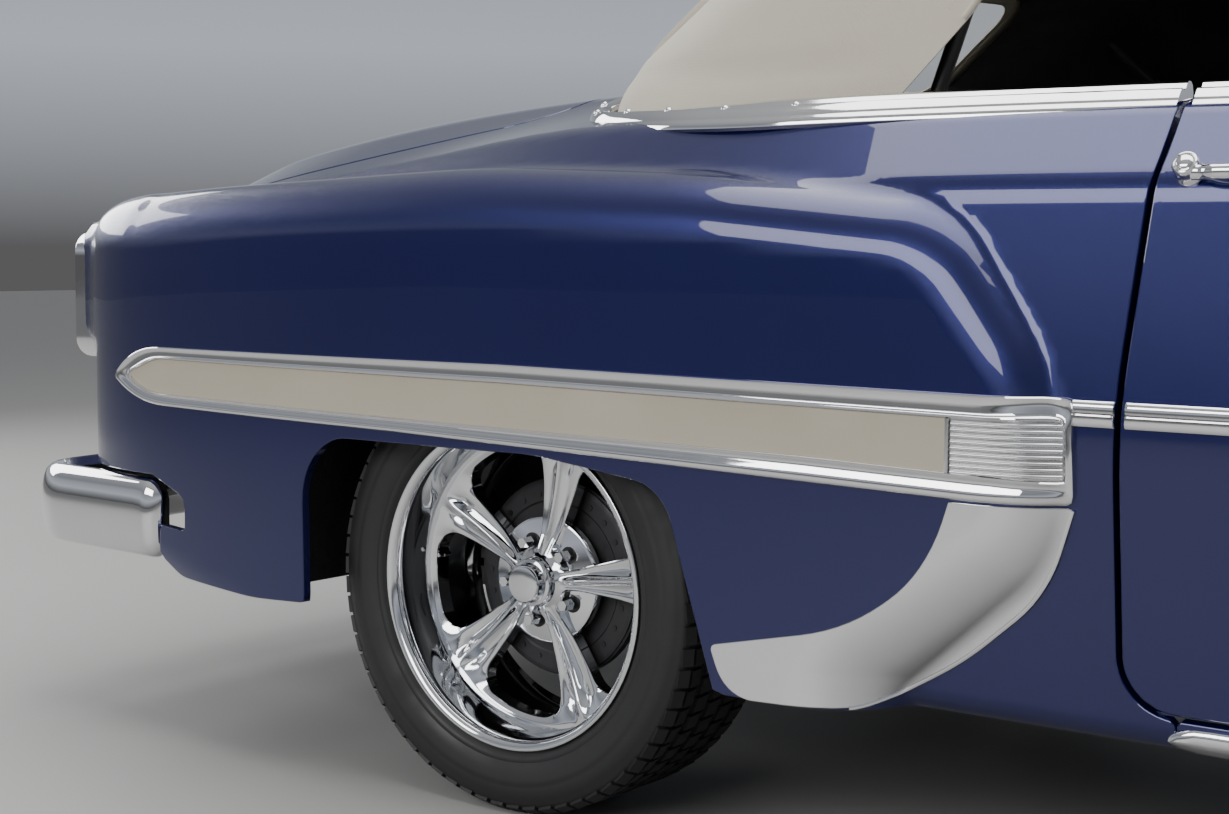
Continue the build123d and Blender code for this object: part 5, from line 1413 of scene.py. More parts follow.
# %% Rim, hub, cap and nuts
LIP = [(103.2, 240.6), (103.5, 238.5), (103.0, 235.5), (101, 231.5), (97, 228), (91, 225.6), (82, 224.4), (60, 223.6),
       (36, 223.0), (28, 220), (14, 216), (-30, 205), (-78, 206), (-92, 222), (-99, 232), (-103, 237), (-103, 241),
       (-98, 241.5), (-94, 236), (-84, 226), (-70, 222), (0, 222), (30, 227), (84, 228.5), (94, 236), (99, 241.2),
       (102, 241.5)]
HUB = [(-12, 0), (-12, 62), (-6, 66), (-6, 94), (6, 96), (9.5, 94.5), (11, 91), (11, 60), (14, 52), (26, 50),
       (30, 45), (33.5, 38.5), (34.5, 37.5), (40, 36.6), (44, 36), (46, 34.5), (46.8, 31.5), (47.5, 30), (60, 29),
       (63, 28.2), (65, 26.4), (65.9, 23), (66.6, 10), (66.8, 0)]
VALVE = [(0, 0), (0, 4.2), (14, 4.0), (15, 3.2), (24, 3.2), (25, 2.6), (25, 0)]
DRUM = [(-38, 40), (-38, 148), (-36, 150), (-22, 150), (-20.5, 147), (-17, 147), (-15.5, 143), (-14.5, 138),
        (-14.5, 118), (-16.5, 115), (-16.5, 80), (-13.5, 76), (-13.5, 40)]
nut_turns = SPOKE_TURN + math.pi / SPOKES + np.arange(SPOKES) * 2 * math.pi / SPOKES
NUT_R, VALVE_R, VALVE_TURN, VENT_R, VENTS = 0.061, 0.201, 3.05, 0.128, 24
nuts = fastener_tree(alloy, "GeometryNodeMeshCone",
                     {"Vertices": 6, "Radius Top": 0.42, "Radius Bottom": 0.5, "Depth": 1.0})
# Black rings under the nuts stand for the shade in the pockets the nuts sit in: painted shade.
nut_shade_rings = fastener_tree(satin_black, "GeometryNodeMeshCylinder", {"Vertices": 24, "Radius": 0.5, "Depth": 1.0})
# Black discs stand in for the vent holes in the drum's face: painted shade of the holes, not a separate part.
vent_shade_discs = fastener_tree(satin_black, "GeometryNodeMeshCylinder", {"Vertices": 12, "Radius": 0.5, "Depth": 1.0})
for name in WHEEL_AT:
    out = np.array((0, math.copysign(1, WHEEL_AT[name][1]), 0))
    centre = at_wheel(name, (0, 0, 0))
    piece_of(name + "_barrel", [turned_ring(LIP, centre, out, 120)], alloy, 50, name, (), "polished_alloy")
    valve_at = at_wheel(name, (VALVE_R * math.cos(VALVE_TURN), 0.004, VALVE_R * math.sin(VALVE_TURN)))
    piece_of(name + "_hub_and_cap", [turned(HUB, centre, out, 64), turned(VALVE, valve_at, out, 12)], alloy, 30, name,
             (), "polished_alloy")
    piece_of(name + "_brake_drum", [turned(DRUM, centre, out, 72)], iron, 30, name, [name + "_drum"], "drum_iron")
    seats = at_wheel(name, np.stack([np.cos(nut_turns) * NUT_R, np.full(5, 0.0115), np.sin(nut_turns) * NUT_R], 1))
    marks = {"aim": np.tile(out, (5, 1)), "run": np.tile((1.0, 0.3, 0.2), (5, 1))}
    # Each nut stands on a black ring, wider than the nut: painted shade of its pocket.
    from_tree(name + "_nut_pocket_shade", nut_shade_rings, {"Length": 0.027, "Width": 0.027, "Height": 0.0035}, seats, (), marks,
              body=name, slot="black_metal")
    from_tree(name + "_nuts", nuts, {"Length": 0.019, "Width": 0.019, "Height": 0.018}, seats + out * 0.008, (),
              marks, sharp=20, body=name, slot="polished_alloy")
    # The drum's vent holes are drawn as black discs on its face: painted shade.
    around = np.arange(VENTS) * math.pi / 12
    holes = at_wheel(name, np.stack([np.cos(around) * VENT_R, np.full(VENTS, -0.0150), np.sin(around) * VENT_R], 1))
    marks = {"aim": np.tile(out, (VENTS, 1)), "run": np.tile((1.0, 0.3, 0.2), (VENTS, 1))}
    from_tree(name + "_drum_vent_shades", vent_shade_discs, {"Length": 0.009, "Width": 0.009, "Height": 0.0035}, holes, (), marks,
              body=name, slot="drum_iron")

# %% [markdown]
# # The tyres
# A low-profile tyre has a bulging side wall with a few moulded rings, a rounded shoulder, and a tread of blocks
# between grooves. The carcass is one turned profile, and the tread is one block repeated by Geometry Nodes.

# %% Tyres
TYRE = [(90, 230), (97, 240), (99.5, 243.5), (103, 246.5), (106.5, 250), (107.5, 254), (106.8, 257), (109.5, 262),
        (112.4, 272), (113.6, 282), (114.0, 288), (113.0, 290), (113.4, 294), (112.4, 302), (109.4, 311),
        (106.5, 315), (105.8, 318), (101.5, 323.5), (95, 327), (86, 329.0), (64, 329.4), (63, 326), (56, 326),
        (55, 329.6), (22, 330), (21, 326.5), (14, 326.5), (13, 330), (0, 330)]
tyre_profile = TYRE + [(-y, r) for y, r in reversed(TYRE[:-1])]
BLOCKS = 66
TREAD = [(0.0965, 0.3272, 14), (0.0745, 0.3315, 0), (0.0385, 0.3316, 0.5), (0.0, 0.3318, 0), (-0.0385, 0.3316, 0.5),
         (-0.0745, 0.3315, 0), (-0.0965, 0.3272, -14)]
blocks = fastener_tree(tyre_rubber, "GeometryNodeMeshCube", {"Size": (1.0, 1.0, 1.0)}, 0.015, 3)
for name in WHEEL_AT:
    out = np.array((0, math.copysign(1, WHEEL_AT[name][1]), 0))
    carcass = turned_ring(tyre_profile, at_wheel(name, (0, 0, 0)), out, 144)
    piece_of(name + "_tyre_carcass", [carcass], tyre_rubber, 40, name, [name + "_tyre"], "tyre")
    for part, picked, width in (("shoulder", (0, 6), 0.017), ("side", (1, 5), 0.0185), ("middle", (2, 4, 3), 0.026)):
        centres, aims, runs = [], [], []
        for k in picked:
            y, r, shift = TREAD[k]
            lean = math.radians(shift * 2.2) if abs(shift) > 1 else 0.0
            a = (np.arange(BLOCKS) + (shift if abs(shift) < 1 else 0)) * 2 * math.pi / BLOCKS
            radial_way = np.stack([np.cos(a), 0 * a, np.sin(a)], 1)
            centres.append(np.stack([np.cos(a) * r, np.full(BLOCKS, y), np.sin(a) * r], 1))
            aims.append(radial_way * math.cos(lean) + np.array((0, 1, 0)) * math.sin(lean))
            runs.append(np.stack([-np.sin(a), 0 * a + 0.12, np.cos(a)], 1))
        flip = (1, out[1], 1)
        from_tree(f"{name}_tread_{part}", blocks, {"Length": 0.0255, "Width": width, "Height": 0.0062},
                  at_wheel(name, np.concatenate(centres)), (),
                  {"aim": np.concatenate(aims) * flip, "run": np.concatenate(runs) * flip}, body=name, slot="tyre")

# %% [markdown]
# # Bumpers
# A bumper bar is rolled from thick sheet to a full barrel section, bent round the corners of the car, and its
# ends are domed shut. The bar is that section carried along its plan, with the section drawn in near each end.
# Two upright guards are bolted over it.

# %% Bumper bars and guards
BAR_FACE = [(-1, 34), (-0.985, 26), (-0.93, 17), (-0.82, 9.5), (-0.66, 5), (-0.45, 2), (-0.22, 0.4), (0, 0),
            (0.22, 0.4), (0.45, 2), (0.66, 5), (0.82, 9.5), (0.93, 17), (0.985, 26), (1, 34), (0.9, 38), (-0.9, 38)]
HALF_HEIGHT, END_ROUND = 0.069, 0.034


def bumper_bar(half_plan, end_x, middle_z):
    """A barrel bar along a plan line, from one side of the car to the other."""
    line = rounded(symmetric(half_plan))
    line = line[np.abs(line[:, 0]) >= abs(end_x) - 1e-6]
    start = int(np.argmax(line[:, 1] * 10 - np.abs(line[:, 0])))
    line = resampled(np.roll(line, -start, 0), 150)
    run = run_of(line)
    extra = END_ROUND * (1 - np.cos(np.linspace(0, math.pi / 2, 9)))
    at = np.unique(np.concatenate([extra, run[-1] - extra, np.linspace(END_ROUND, run[-1] - END_ROUND, 130)]))
    line = at_run(at, run, line)
    t = along(line)
    out = np.stack([t[:, 1], -t[:, 0]], 1)
    out *= np.sign(np.sum(out * line, 1))[:, None]
    e = np.clip(np.minimum(at, run[-1] - at) / END_ROUND, 0, 1)
    dome = np.sqrt(np.clip(1 - (1 - e) ** 2, 0, 1))
    tz, back = np.array(BAR_FACE).T
    high = 0.45 + 0.55 * dome
    depth = back[None] / 1000 + (0.038 - back[None] / 1000) * (1 - dome[:, None])
    x = line[:, 0, None] - out[:, 0, None] * depth
    y = line[:, 1, None] - out[:, 1, None] * depth
    z = middle_z + tz[None] * HALF_HEIGHT * high[:, None]
    return lattice(np.stack([x, y, z], 2), round_v=True, caps=True)


def bumper_guard(face_x, y, low, high):
    """An upright guard: a tall rounded bullet that hooks over the bar."""
    zs = np.linspace(0, 1, 19)
    swell = np.sqrt(np.clip(1 - np.abs(2 * zs - 0.92) ** 3.2 / 1.4, 0.02, 1))
    swell[[0, -1]] *= 0.35
    sign = math.copysign(1, face_x)
    a = np.linspace(0, 2 * math.pi, 24, endpoint=False)
    u, v = np.sign(np.cos(a)) * np.abs(np.cos(a)) ** 0.7, np.sign(np.sin(a)) * np.abs(np.sin(a)) ** 0.7
    x = face_x - sign * 0.021 + sign * 0.0205 * u[None] * (0.4 + 0.6 * swell[:, None])
    aside = y + 0.031 * v[None] * swell[:, None]
    z = np.broadcast_to(low + (high - low) * zs[:, None], x.shape)
    return lattice(np.stack([x, aside, z], 2), round_v=True, caps=True)


FRONT_BAR = [(2110, 950, 0), (2385, 872, 150), (2466, 330, 1200)]
REAR_BAR = [(-1990, 902, 0), (-2388, 872, 140), (-2466, 380, 1100)]
for name, bar, end_x, z, face, low, high in (("front", FRONT_BAR, 2.110, 0.420, 2.482, 0.317, 0.588),
                                             ("rear", REAR_BAR, 1.990, 0.374, -2.482, 0.277, 0.568)):
    piece_of(name + "_bumper_bar", [bumper_bar(bar, end_x, z)], bright, 50, "body", [name + "_bumper"], "chrome")
    piece_of(name + "_bumper_guards", [bumper_guard(face, side_y, low, high) for side_y in (-0.4, 0.4)], bright, 50,
             "body", (), "chrome")

# %% [markdown]
# # Lamps and grille
# A head lamp is a plated ring round a domed lens with upright flutes; behind it sits a silvered bowl. The tail
# lamp is a tall plated case with a red lens in two steps. The grille is a bright oval mouth with one heavy bar
# and five upright teeth, and a round parking lamp near each end.

# %% Head lamps and tail lamps
BEZEL = [(-60, 100), (-60, 113), (-20, 114.5), (4, 115), (14, 114), (21, 110.5), (24.5, 105), (24, 99), (19.5, 95.5),
         (13, 94), (4, 94), (-50, 94)]
lamp_at, ahead_way = (2.286, HEADLAMP_Y, HEADLAMP_Z), (1, 0, 0)
LENS_R, DOME_R, FLUTE_PITCH = 0.0915, 0.230, 0.0115
flute = []
for r in np.linspace(0, LENS_R, 22):
    a = np.linspace(0, 2 * math.pi, 96, endpoint=False)
    y, z = r * np.cos(a), r * np.sin(a)
    dome = math.sqrt(DOME_R ** 2 - r * r) - math.sqrt(DOME_R ** 2 - LENS_R ** 2)
    wave = 0.0007 * np.cos(y * 2 * math.pi / FLUTE_PITCH) * np.clip((0.088 - r) / 0.01, 0, 1)
    flute.append(np.stack([np.full(96, lamp_at[0] + 0.006 + dome) + wave, lamp_at[1] + y, lamp_at[2] + z], 1))
lens = lattice(np.array(flute), round_v=True)
bowl = turned([(2, 93), (-14, 88), (-34, 66), (-46, 40), (-50, 20), (-50, 0)], lamp_at, ahead_way, 64)
bulb = turned([(-50, 0), (-50, 14), (-36, 14), (-30, 9), (-24, 0)], lamp_at, ahead_way, 24)
piece_of("head_lamp_rings", [turned_ring(BEZEL, lamp_at, ahead_way, 72)], bright, 40, "body", ["lamp_bezels"],
         "chrome", sides=True)
piece_of("head_lamp_bowls", [bowl, bulb], alloy, 40, "body", (), "chrome", sides=True)
TAIL_Y, TAIL_Z, TAIL_W, TAIL_H = 0.740, 0.742, 0.039, 0.113


def tail_outline(grow=0.0):
    w, h, r = [(v + grow) * 1000 for v in (TAIL_W, TAIL_H, 0.036)]
    return rounded([(-w, -h, r), (w, -h, r), (w, h, r), (-w, h, r)])


def tail_place(u, v, h):
    """Places a tail lamp's section; its face follows the fender's lean."""
    return [-2.300 - h + 0.035 * np.clip(v, -1, 1) ** 2 * 0.5, TAIL_Y + u + 0 * h, TAIL_Z + v + 0 * h]


case = slab(resampled(tail_outline(), 72, True), tail_place, -0.03, 0.0440, 0.005, 4, hollow=0.0095)
piece_of("tail_lamp_cases", [case], bright, 45, "body", (), "chrome", sides=True)
lens_line = resampled(tail_outline(-0.010), 72, True)
LENS_STEPS = [(0, 0), (0, 0.012), (0.06, 0.0165), (0.2, 0.0195), (0.30, 0.0205), (0.32, 0.0235), (0.45, 0.0245),
              (0.7, 0.0250), (0.98, 0.0252)]
lens_rows = [(lens_line * (1 - k), 0.026 + h) for k, h in LENS_STEPS]
lens_grid = np.stack([np.stack(tail_place(o[:, 0], o[:, 1], np.full(len(o), h)), 1) for o, h in lens_rows])
piece_of("tail_lamp_lenses", [lattice(lens_grid, round_v=True, caps=True)], red_glass, 30, "body", ["tail_lenses"],
         "red_lens", sides=True)

# %% Grille
def ahead_place(x_at):
    """Places a section seen from ahead, set back towards the sides as the nose is."""
    return lambda u, v, h: [x_at + h - 0.10 * np.clip(np.abs(u) - 0.25, 0, 1) ** 2 * 1.8, u + 0 * h, v + 0 * h]


mouth = resampled(rounded([(-622, 420, 92), (622, 420, 92), (622, 620, 92), (-622, 620, 92)]), 220, True)
mouth_ring = slab(mouth, ahead_place(2.300), -0.035, 0.050, 0.008, 4, hollow=0.020)
# A satin black plate just inside the mouth fills the opening: painted shade in place of the dark cavity behind the
# grille.
mouth_shade_plate = slab(inset(mouth, 0.006), ahead_place(2.255), -0.004, 0.004, 0.002, 2)
BAR_Z, PARK_Y = 0.520, 0.515
bar_y = np.linspace(-0.612, 0.612, 60)
bar_path = np.stack([2.338 - 0.18 * np.clip(np.abs(bar_y) - 0.25, 0, 1) ** 2, bar_y, np.full(60, BAR_Z)], 1)
bar_section = [(math.cos(a) * 0.0225, math.sin(a) * 0.0165 - 0.003)
               for a in np.linspace(0, 2 * math.pi, 20, endpoint=False)]
grille_bar = swept(bar_path, np.array([1.0, 0, 0]), bar_section)


def tooth(y):
    zs = np.linspace(-1, 1, 17)
    a = np.linspace(0, 2 * math.pi, 20, endpoint=False)
    wide = 0.0195 * np.sqrt(np.clip(1.04 - np.abs(zs) ** 4, 0.05, 1))
    deep = 0.019 * np.sqrt(np.clip(1.04 - np.abs(zs) ** 3, 0.05, 1))
    front = 2.333 - 0.18 * max(abs(y) - 0.25, 0) ** 2
    return lattice(np.stack([front + deep[:, None] * np.cos(a), y + wide[:, None] * np.sin(a),
                             BAR_Z + 0.094 * zs[:, None] + 0 * a], 2), round_v=True, caps=True)


def parking_lamps(profile, steps):
    """A turned part of the parking lamp near each end of the bar."""
    return [turned(profile, (2.306, y, BAR_Z), ahead_way, steps) for y in (-PARK_Y, PARK_Y)]


teeth = [tooth(y) for y in (-0.30, -0.15, 0.0, 0.15, 0.30)]
park_ring = parking_lamps([(-40, 44), (-40, 57), (18, 58), (24, 56), (27, 51), (25, 46), (20, 44)], 48)
piece_of("grille_mouth", [mouth_ring, grille_bar] + teeth + park_ring, bright, 45, "body", ["grille"], "chrome")
# The black plate that fills the mouth is painted shade, not a part of the grille.
piece_of("grille_shade_plate", [mouth_shade_plate], satin_black, 45, "body", (), "black_metal")
park_lens = parking_lamps([(2, 45), (18, 45), (25, 40), (30, 28), (32, 14), (32.5, 0)], 40)
piece_of("lamp_lenses_clear", [lens] + mirror_parts([lens]) + park_lens, lamp_glass, 30, "body", ["head_lenses"],
         "clear_glass")


# %% [markdown]
# # The fabric top
# The top is a canvas sheet cut in panels, sewn, and stretched over four bows. Behind the last bow it runs down
# to the belt, where its edge is held by snap studs, and it hollows a little between the two because it is pulled
# tight. Its form is worked out station by station, then followed by rays from a line in the cabin, so one
# even sheet results; the windows are cut from it, and a black lining hangs just inside.

# %% Form of the top
TOP = Curve(np.array([(-1430, 300, 270, 1004, 8, 120, 1020), (-1380, 530, 470, 1030, 30, 230, 1064),
                      (-1300, 650, 580, 1072, 50, 260, 1140), (-1200, 706, 612, 1134, 80, 270, 1228),
                      (-1100, 730, 614, 1215, 105, 275, 1308), (-1000, 738, 640, 1285, 115, 285, 1382),
                      (-850, 742, 668, 1366, 120, 290, 1455), (-600, 744, 676, 1425, 110, 300, 1518),
                      (-300, 744, 676, 1452, 100, 300, 1546), (50, 735, 668, 1462, 90, 300, 1548),
                      (400, 705, 640, 1448, 70, 300, 1510), (630, 690, 608, 1432, 40, 300, 1462)]) / 1000)
TOP_FOOT, HEADER_X = 0.985, 0.628
side_window = rounded([(-765, 950, 0), (-575, 1148, 120), (-520, 1392, 40), (900, 1412, 0), (900, 950, 0)])
back_window = rounded([(420, 1135, 40), (405, 1290, 40), (-405, 1290, 40), (-420, 1135, 40)])


def top_form(p):
    """Negative inside the fabric top."""
    foot_y, edge_y, edge_z, r, crown_y, high = TOP(p[:, 0]).T
    y, z = np.abs(p[:, 1]), p[:, 2]
    lean = (foot_y - edge_y) / (edge_z - TOP_FOOT)
    wall = (y - foot_y + lean * (z - TOP_FOOT)) / np.hypot(1, lean)
    fall = (high - edge_z) / (edge_y - crown_y)
    lid_z = high - 0.010 * (y / 0.3) ** 2 - fall * np.maximum(y - crown_y, 0) ** 1.25 * 0.55 ** 0.25
    roof = z - lid_z
    g = round_and(wall, roof, np.clip(r, 0.01, 0.12))
    behind = np.clip((-p[:, 0] - 1.0) / 0.35, 0, 1)
    skirt = outside(np.stack([p[:, 0], y], 1), cockpit_loop) + 0.004 + (z - TOP_FOOT - 0.01) * (0.06 + 0.34 * behind)
    g = round_and(g, skirt, 0.03)
    crease = np.exp(-((z - 1.083 - 0.010 * np.sin(9 * p[:, 0])) / 0.014) ** 2) \
        * np.clip((-0.70 - p[:, 0]) / 0.1, 0, 1) * np.clip((y - 0.45) / 0.1, 0, 1)
    pull = np.sin(75 * p[:, 0] + 14 * z) * np.exp(-((z - 1.02) / 0.035) ** 2) * np.clip((-0.9 - p[:, 0]) / 0.3, 0, 1)
    slack = np.sin(21 * p[:, 0] + 9 * y) * np.clip((-0.62 - p[:, 0]) / 0.2, 0, 1) * np.clip((z - 1.0) / 0.1, 0, 1)
    return g + 0.0045 * crease + 0.0016 * pull + 0.0012 * slack


def top_points(x, turn):
    """Points on the sheet at each station and angle from the cabin's line; 90 degrees is straight up."""
    x, turn = np.broadcast_arrays(np.asarray(x, float), np.asarray(turn, float))
    shape = x.shape
    x, a = x.ravel(), np.radians(turn.ravel())
    o = np.stack([x, 0 * x, 0 * x + TOP_FOOT], 1)
    d = np.stack([0 * x, np.cos(a), np.sin(a)], 1)
    reach = crossing(top_form, lambda t: o + d * t[:, None], len(x), 0.0, 1.0, 18)
    return (o + d * reach[:, None]).reshape(shape + (3,))


def top_normals(p):
    h = 0.003
    n = np.stack([top_form(p + np.eye(3)[k] * h) - top_form(p - np.eye(3)[k] * h) for k in range(3)], 1)
    return n / np.maximum(np.linalg.norm(n, axis=1), 1e-9)[:, None]


stations = np.concatenate([np.linspace(HEADER_X, -1.0, 80),
                           -1.0 - 0.359 * np.sin(np.linspace(0, math.pi / 2, 46))[1:]])
angles = np.linspace(0.5, 179.5, 131)
top_grid = top_points(stations[:, None], angles[None])
cloth_run = np.cumsum(np.concatenate([np.zeros((len(stations), 1)),
                                      np.linalg.norm(np.diff(top_grid, axis=1), axis=2)], 1), axis=1)
cloth_uv = np.stack([np.broadcast_to(stations[:, None], cloth_run.shape), cloth_run - cloth_run[:, 65:66]], 2)


def window_field(p):
    """Negative in the side windows."""
    return np.where(np.abs(p[:, 1]) > 0.38, outside(p[:, [0, 2]], side_window), 9.0)


def back_field(p):
    """Negative in the rear window."""
    return np.where(p[:, 0] < -0.95, outside(p[:, [1, 2]], back_window), 9.0)


def cut_cloth(field, every=1):
    """The sheet where a field is positive, with its coordinates in metres along the cloth."""
    p, uv = top_grid[::every, ::every], cloth_uv[::every, ::every]
    f = grid_faces(*p.shape[:2])
    p = p.reshape(-1, 3)
    all_p = np.concatenate([p, uv.reshape(-1, 2)], 1)
    q, g, _ = clip(all_p, f, -field(p))
    q, g = compact(q, g)
    return q[:, :3], g, q[:, 3:]


def cloth(name, p, f, uv, offset, thick, material, **place):
    """A closed sheet of a given thickness, at an offset inside the top's form, with its UV in metres."""
    n = top_normals(p)
    edge = rim_edges(f)
    outer, inner = p - n * offset, p - n * (offset + thick)
    a, b = edge.T
    m = len(p)
    faces = np.concatenate([f, f[:, ::-1] + m, np.stack([a, a + m, b], 1), np.stack([b, a + m, b + m], 1)])
    mesh = bpy.data.meshes.new(name)
    mesh.from_pydata(np.concatenate([outer, inner]).tolist(), [], faces.tolist())
    layer = mesh.uv_layers.new(name="cloth")
    corner = np.concatenate([uv, uv])[faces.ravel()]
    layer.data.foreach_set("uv", corner.ravel())
    mesh.materials.append(material)
    mesh.validate()
    bm = bmesh.new()
    bm.from_mesh(mesh)
    bmesh.ops.recalc_face_normals(bm, faces=bm.faces)
    bm.to_mesh(mesh)
    bm.free()
    mesh.shade_smooth()
    mesh.set_sharp_from_angle(angle=math.radians(50))
    return placed(new_object(name, mesh), **place)


# %% Canvas, lining and rear window
openings = lambda p: np.minimum(window_field(p), back_field(p))
p, f, uv = cut_cloth(openings)
top_sheet = cloth("canvas_top", p, f, uv, 0.0, 0.0018, canvas, body="body", nodes=["soft_top"], slot="canvas")
lining_field = lambda p: np.minimum(window_field(p) - 0.012, back_field(p) - 0.02)
p, f, uv = cut_cloth(lining_field, 2)
cloth("black_lining", p, f, uv, 0.0105, 0.0016, lining, body="body", slot="canvas")
p, f, uv = cut_cloth(lambda p: 0.022 - back_field(p))
cloth("rear_window_sheet", p, f, uv, 0.0026, 0.0012, clear_window, body="body", nodes=["rear_window"],
      slot="clear_glass")

# %% [markdown]
# # Seams, welts and stitches
# Seams run from front to rear above the side windows and down the back corners, where two panels meet in a
# flat felled band with two rows of stitches. A welt bounds each window and the header. The bands are beads laid
# on the sheet; the stitches are one small shape repeated at even steps, as a sewing machine sets them.

# %% Seams and stitches
def on_cloth(x, turn, lift_by=0.0):
    line = top_points(x, turn)
    return line + top_normals(line) * lift_by


def evenly(line, pitch):
    run = run_of(line)
    return at_run(np.arange(pitch, run[-1] - pitch, pitch), run, line)


SEAM_TURN = np.array([(-1.42, 4), (-1.30, 12), (-1.15, 20), (-1.0, 29), (-0.85, 34), (-0.6, 36.5), (0.63, 38)])
band_turn = lambda x: np.interp(x, *SEAM_TURN.T)
roof_x = np.linspace(HEADER_X - 0.004, -1.02, 120)
tail_x = np.linspace(-1.02, -1.385, 60)
seam_x = np.concatenate([roof_x, tail_x[1:]])
seam_lines = [on_cloth(seam_x, band_turn(seam_x), 0.0006)]
cross_lines = [on_cloth(np.full(90, x), np.linspace(42, 138, 90), 0.0006) for x in (0.40, 0.05, -0.30, -0.62)]
window_line = rounded([(-765, 950, 0), (-575, 1148, 120), (-520, 1392, 40), (640, 1409, 0)])[:-1]
window_line = resampled(np.concatenate([window_line[window_line[:, 1] > 1.0], [[0.62, 1.4088]]]), 110)


def wall_point(x, z, lift_by):
    """Points on the left side of the sheet at each (x, z)."""
    y = crossing(top_form, lambda t: np.stack([x, t, z], 1), len(x), 0.30, 0.80, 18)
    q = np.stack([x, y, z], 1)
    return q + top_normals(q) * lift_by


window_welt = wall_point(window_line[:, 0] - 0.004, window_line[:, 1] + 0.003, 0.0012)
window_hem = wall_point(window_line[:, 0] - 0.030, window_line[:, 1] + 0.012, 0.0002)
window_hem = window_hem[window_hem[:, 0] < -0.5]
header = on_cloth(np.full(110, HEADER_X - 0.003), np.linspace(8, 172, 110), 0.0010)
header = header[header[:, 2] > 1.405]
mirrored = lambda lines: lines + [line * (1, -1, 1) for line in lines]
back_ring = resampled(rounded([(432, 1123, 46), (417, 1302, 46), (-417, 1302, 46), (-432, 1123, 46)]), 150, True)


def back_point(y, z, lift_by):
    """Points on the rear of the sheet at each (y, z)."""
    back = crossing(top_form, lambda t: np.stack([-t, y, z], 1), len(y), 0.90, 1.43, 18)
    q = np.stack([-back, y, z], 1)
    return q + top_normals(q) * lift_by


back_line = back_point(back_ring[:, 0], back_ring[:, 1], 0.0008)
band = from_tree("canvas_seam_bands", bead_tree(canvas, 8), {"Width": 0.020, "Height": 0.0022},
                 *lines_to_edges(mirrored(seam_lines) + cross_lines), body="body", slot="canvas")
welts = from_tree("canvas_welts", bead_tree(canvas, 10), {"Width": 0.0085, "Height": 0.0075},
                  *lines_to_edges(mirrored([window_welt]) + [header, np.concatenate([back_line, back_line[:1]])]),
                  body="body", slot="canvas")
stitch_lines = []
for line in mirrored(seam_lines):
    aside = np.cross(along(line), top_normals(line))
    stitch_lines += [line + aside * side_way * 0.0062 + top_normals(line) * 0.0008 for side_way in (-1, 1)]
stitch_lines += mirrored([window_hem])
back_hem = resampled(rounded([(446, 1110, 50), (431, 1316, 50), (-431, 1316, 50), (-446, 1110, 50)]), 220, True)
stitch_lines.append(back_point(back_hem[:, 0], back_hem[:, 1], 0.0004))
STITCH_PITCH = 0.0062
stitches = [evenly(line, STITCH_PITCH) for line in stitch_lines]
ways = np.concatenate([along(s) for s in stitches])
stitches = np.concatenate(stitches)
thread = fastener_tree(canvas, "GeometryNodeMeshUVSphere", {"Segments": 5, "Rings": 3, "Radius": 0.5})
stitching = from_tree("canvas_stitches", thread, {"Length": 0.0044, "Width": 0.0011, "Height": 0.0010}, stitches, (),
                      {"aim": top_normals(stitches), "run": ways}, body="body", slot="canvas")

# %% [markdown]
# # Bows and rails of the top
# The canvas is carried by four pressed bows across the roof, joined by folding side rails to a main pivot
# behind each door. They are bent from tube, so each is one tube carried along a line just under the lining.

# %% Bows and rails
bow_parts = []
for x, turn_at in ((0.40, 8), (0.05, 8), (-0.60, 8), (-0.98, 14)):
    line = top_points(np.full(60, x), np.linspace(turn_at + 22, 158 - turn_at, 60))
    bow_parts.append(tube(line - top_normals(line) * 0.024, 0.010, 12))
for rail in (((0.56, 0.588, 1.398), (0.20, 0.628, 1.405), (-0.20, 0.640, 1.395), (-0.52, 0.642, 1.372)),
             ((-0.50, 0.642, 1.376), (-0.60, 0.652, 1.24), (-0.70, 0.676, 0.93)),
             ((-0.69, 0.676, 0.945), (-0.84, 0.660, 1.10), (-0.97, 0.600, 1.23))):
    bow_parts += [tube(resampled(np.array(rail) * (1, s, 1), 24), 0.011, 12) for s in (1, -1)]
bow_parts += [turned([(-9, 0), (-9, 17), (-6, 20), (6, 20), (9, 17), (9, 0)], (x, s * y, z), (0, 1, 0), 24)
              for x, y, z in ((-0.52, 0.646, 1.374), (-0.697, 0.676, 0.937)) for s in (1, -1)]
piece_of("top_bows_and_rails", bow_parts, satin_black, 40, "body", ["top_frame"], "black_metal")

# %% [markdown]
# # Inner panels
# Behind the outer skin a body has inner panels: wheel houses, bulkheads, a trunk floor and the posts that the
# doors shut on. They are flat or rolled sheet, coated black, and they keep light from showing through the
# arches. Each is cut where it comes within the outer panel's thickness, as the real ones are welded to it.

# %% Inner sheets
def inner_sheet(grid, cut=None, thick=0.003, gap=0.0125):
    """A sheet on a grid of points, kept inside the body's form and where cut is positive."""
    grid = np.asarray(grid)
    q, faces = grid.reshape(-1, 3), grid_faces(*grid.shape[:2])
    g = form(np.stack([q[:, 0], np.abs(q[:, 1]), q[:, 2]], 1)) + gap
    if cut is not None:
        g = np.maximum(g, -cut(q))
    q, faces, _ = clip(q, faces, g)
    q, faces = compact(q, faces)
    a, b, c = q[faces[:, 0]], q[faces[:, 1]], q[faces[:, 2]]
    each = np.cross(b - a, c - a)
    n = np.zeros_like(q)
    for k in range(3):
        np.add.at(n, faces[:, k], each)
    n /= np.maximum(np.linalg.norm(n, axis=1), 1e-12)[:, None]
    m = len(q)
    edge = rim_edges(faces)
    i, j = edge.T
    return np.concatenate([q, q - n * thick]), np.concatenate(
        [faces, faces[:, ::-1] + m, np.stack([i, i + m, j], 1), np.stack([j, i + m, j + m], 1)])


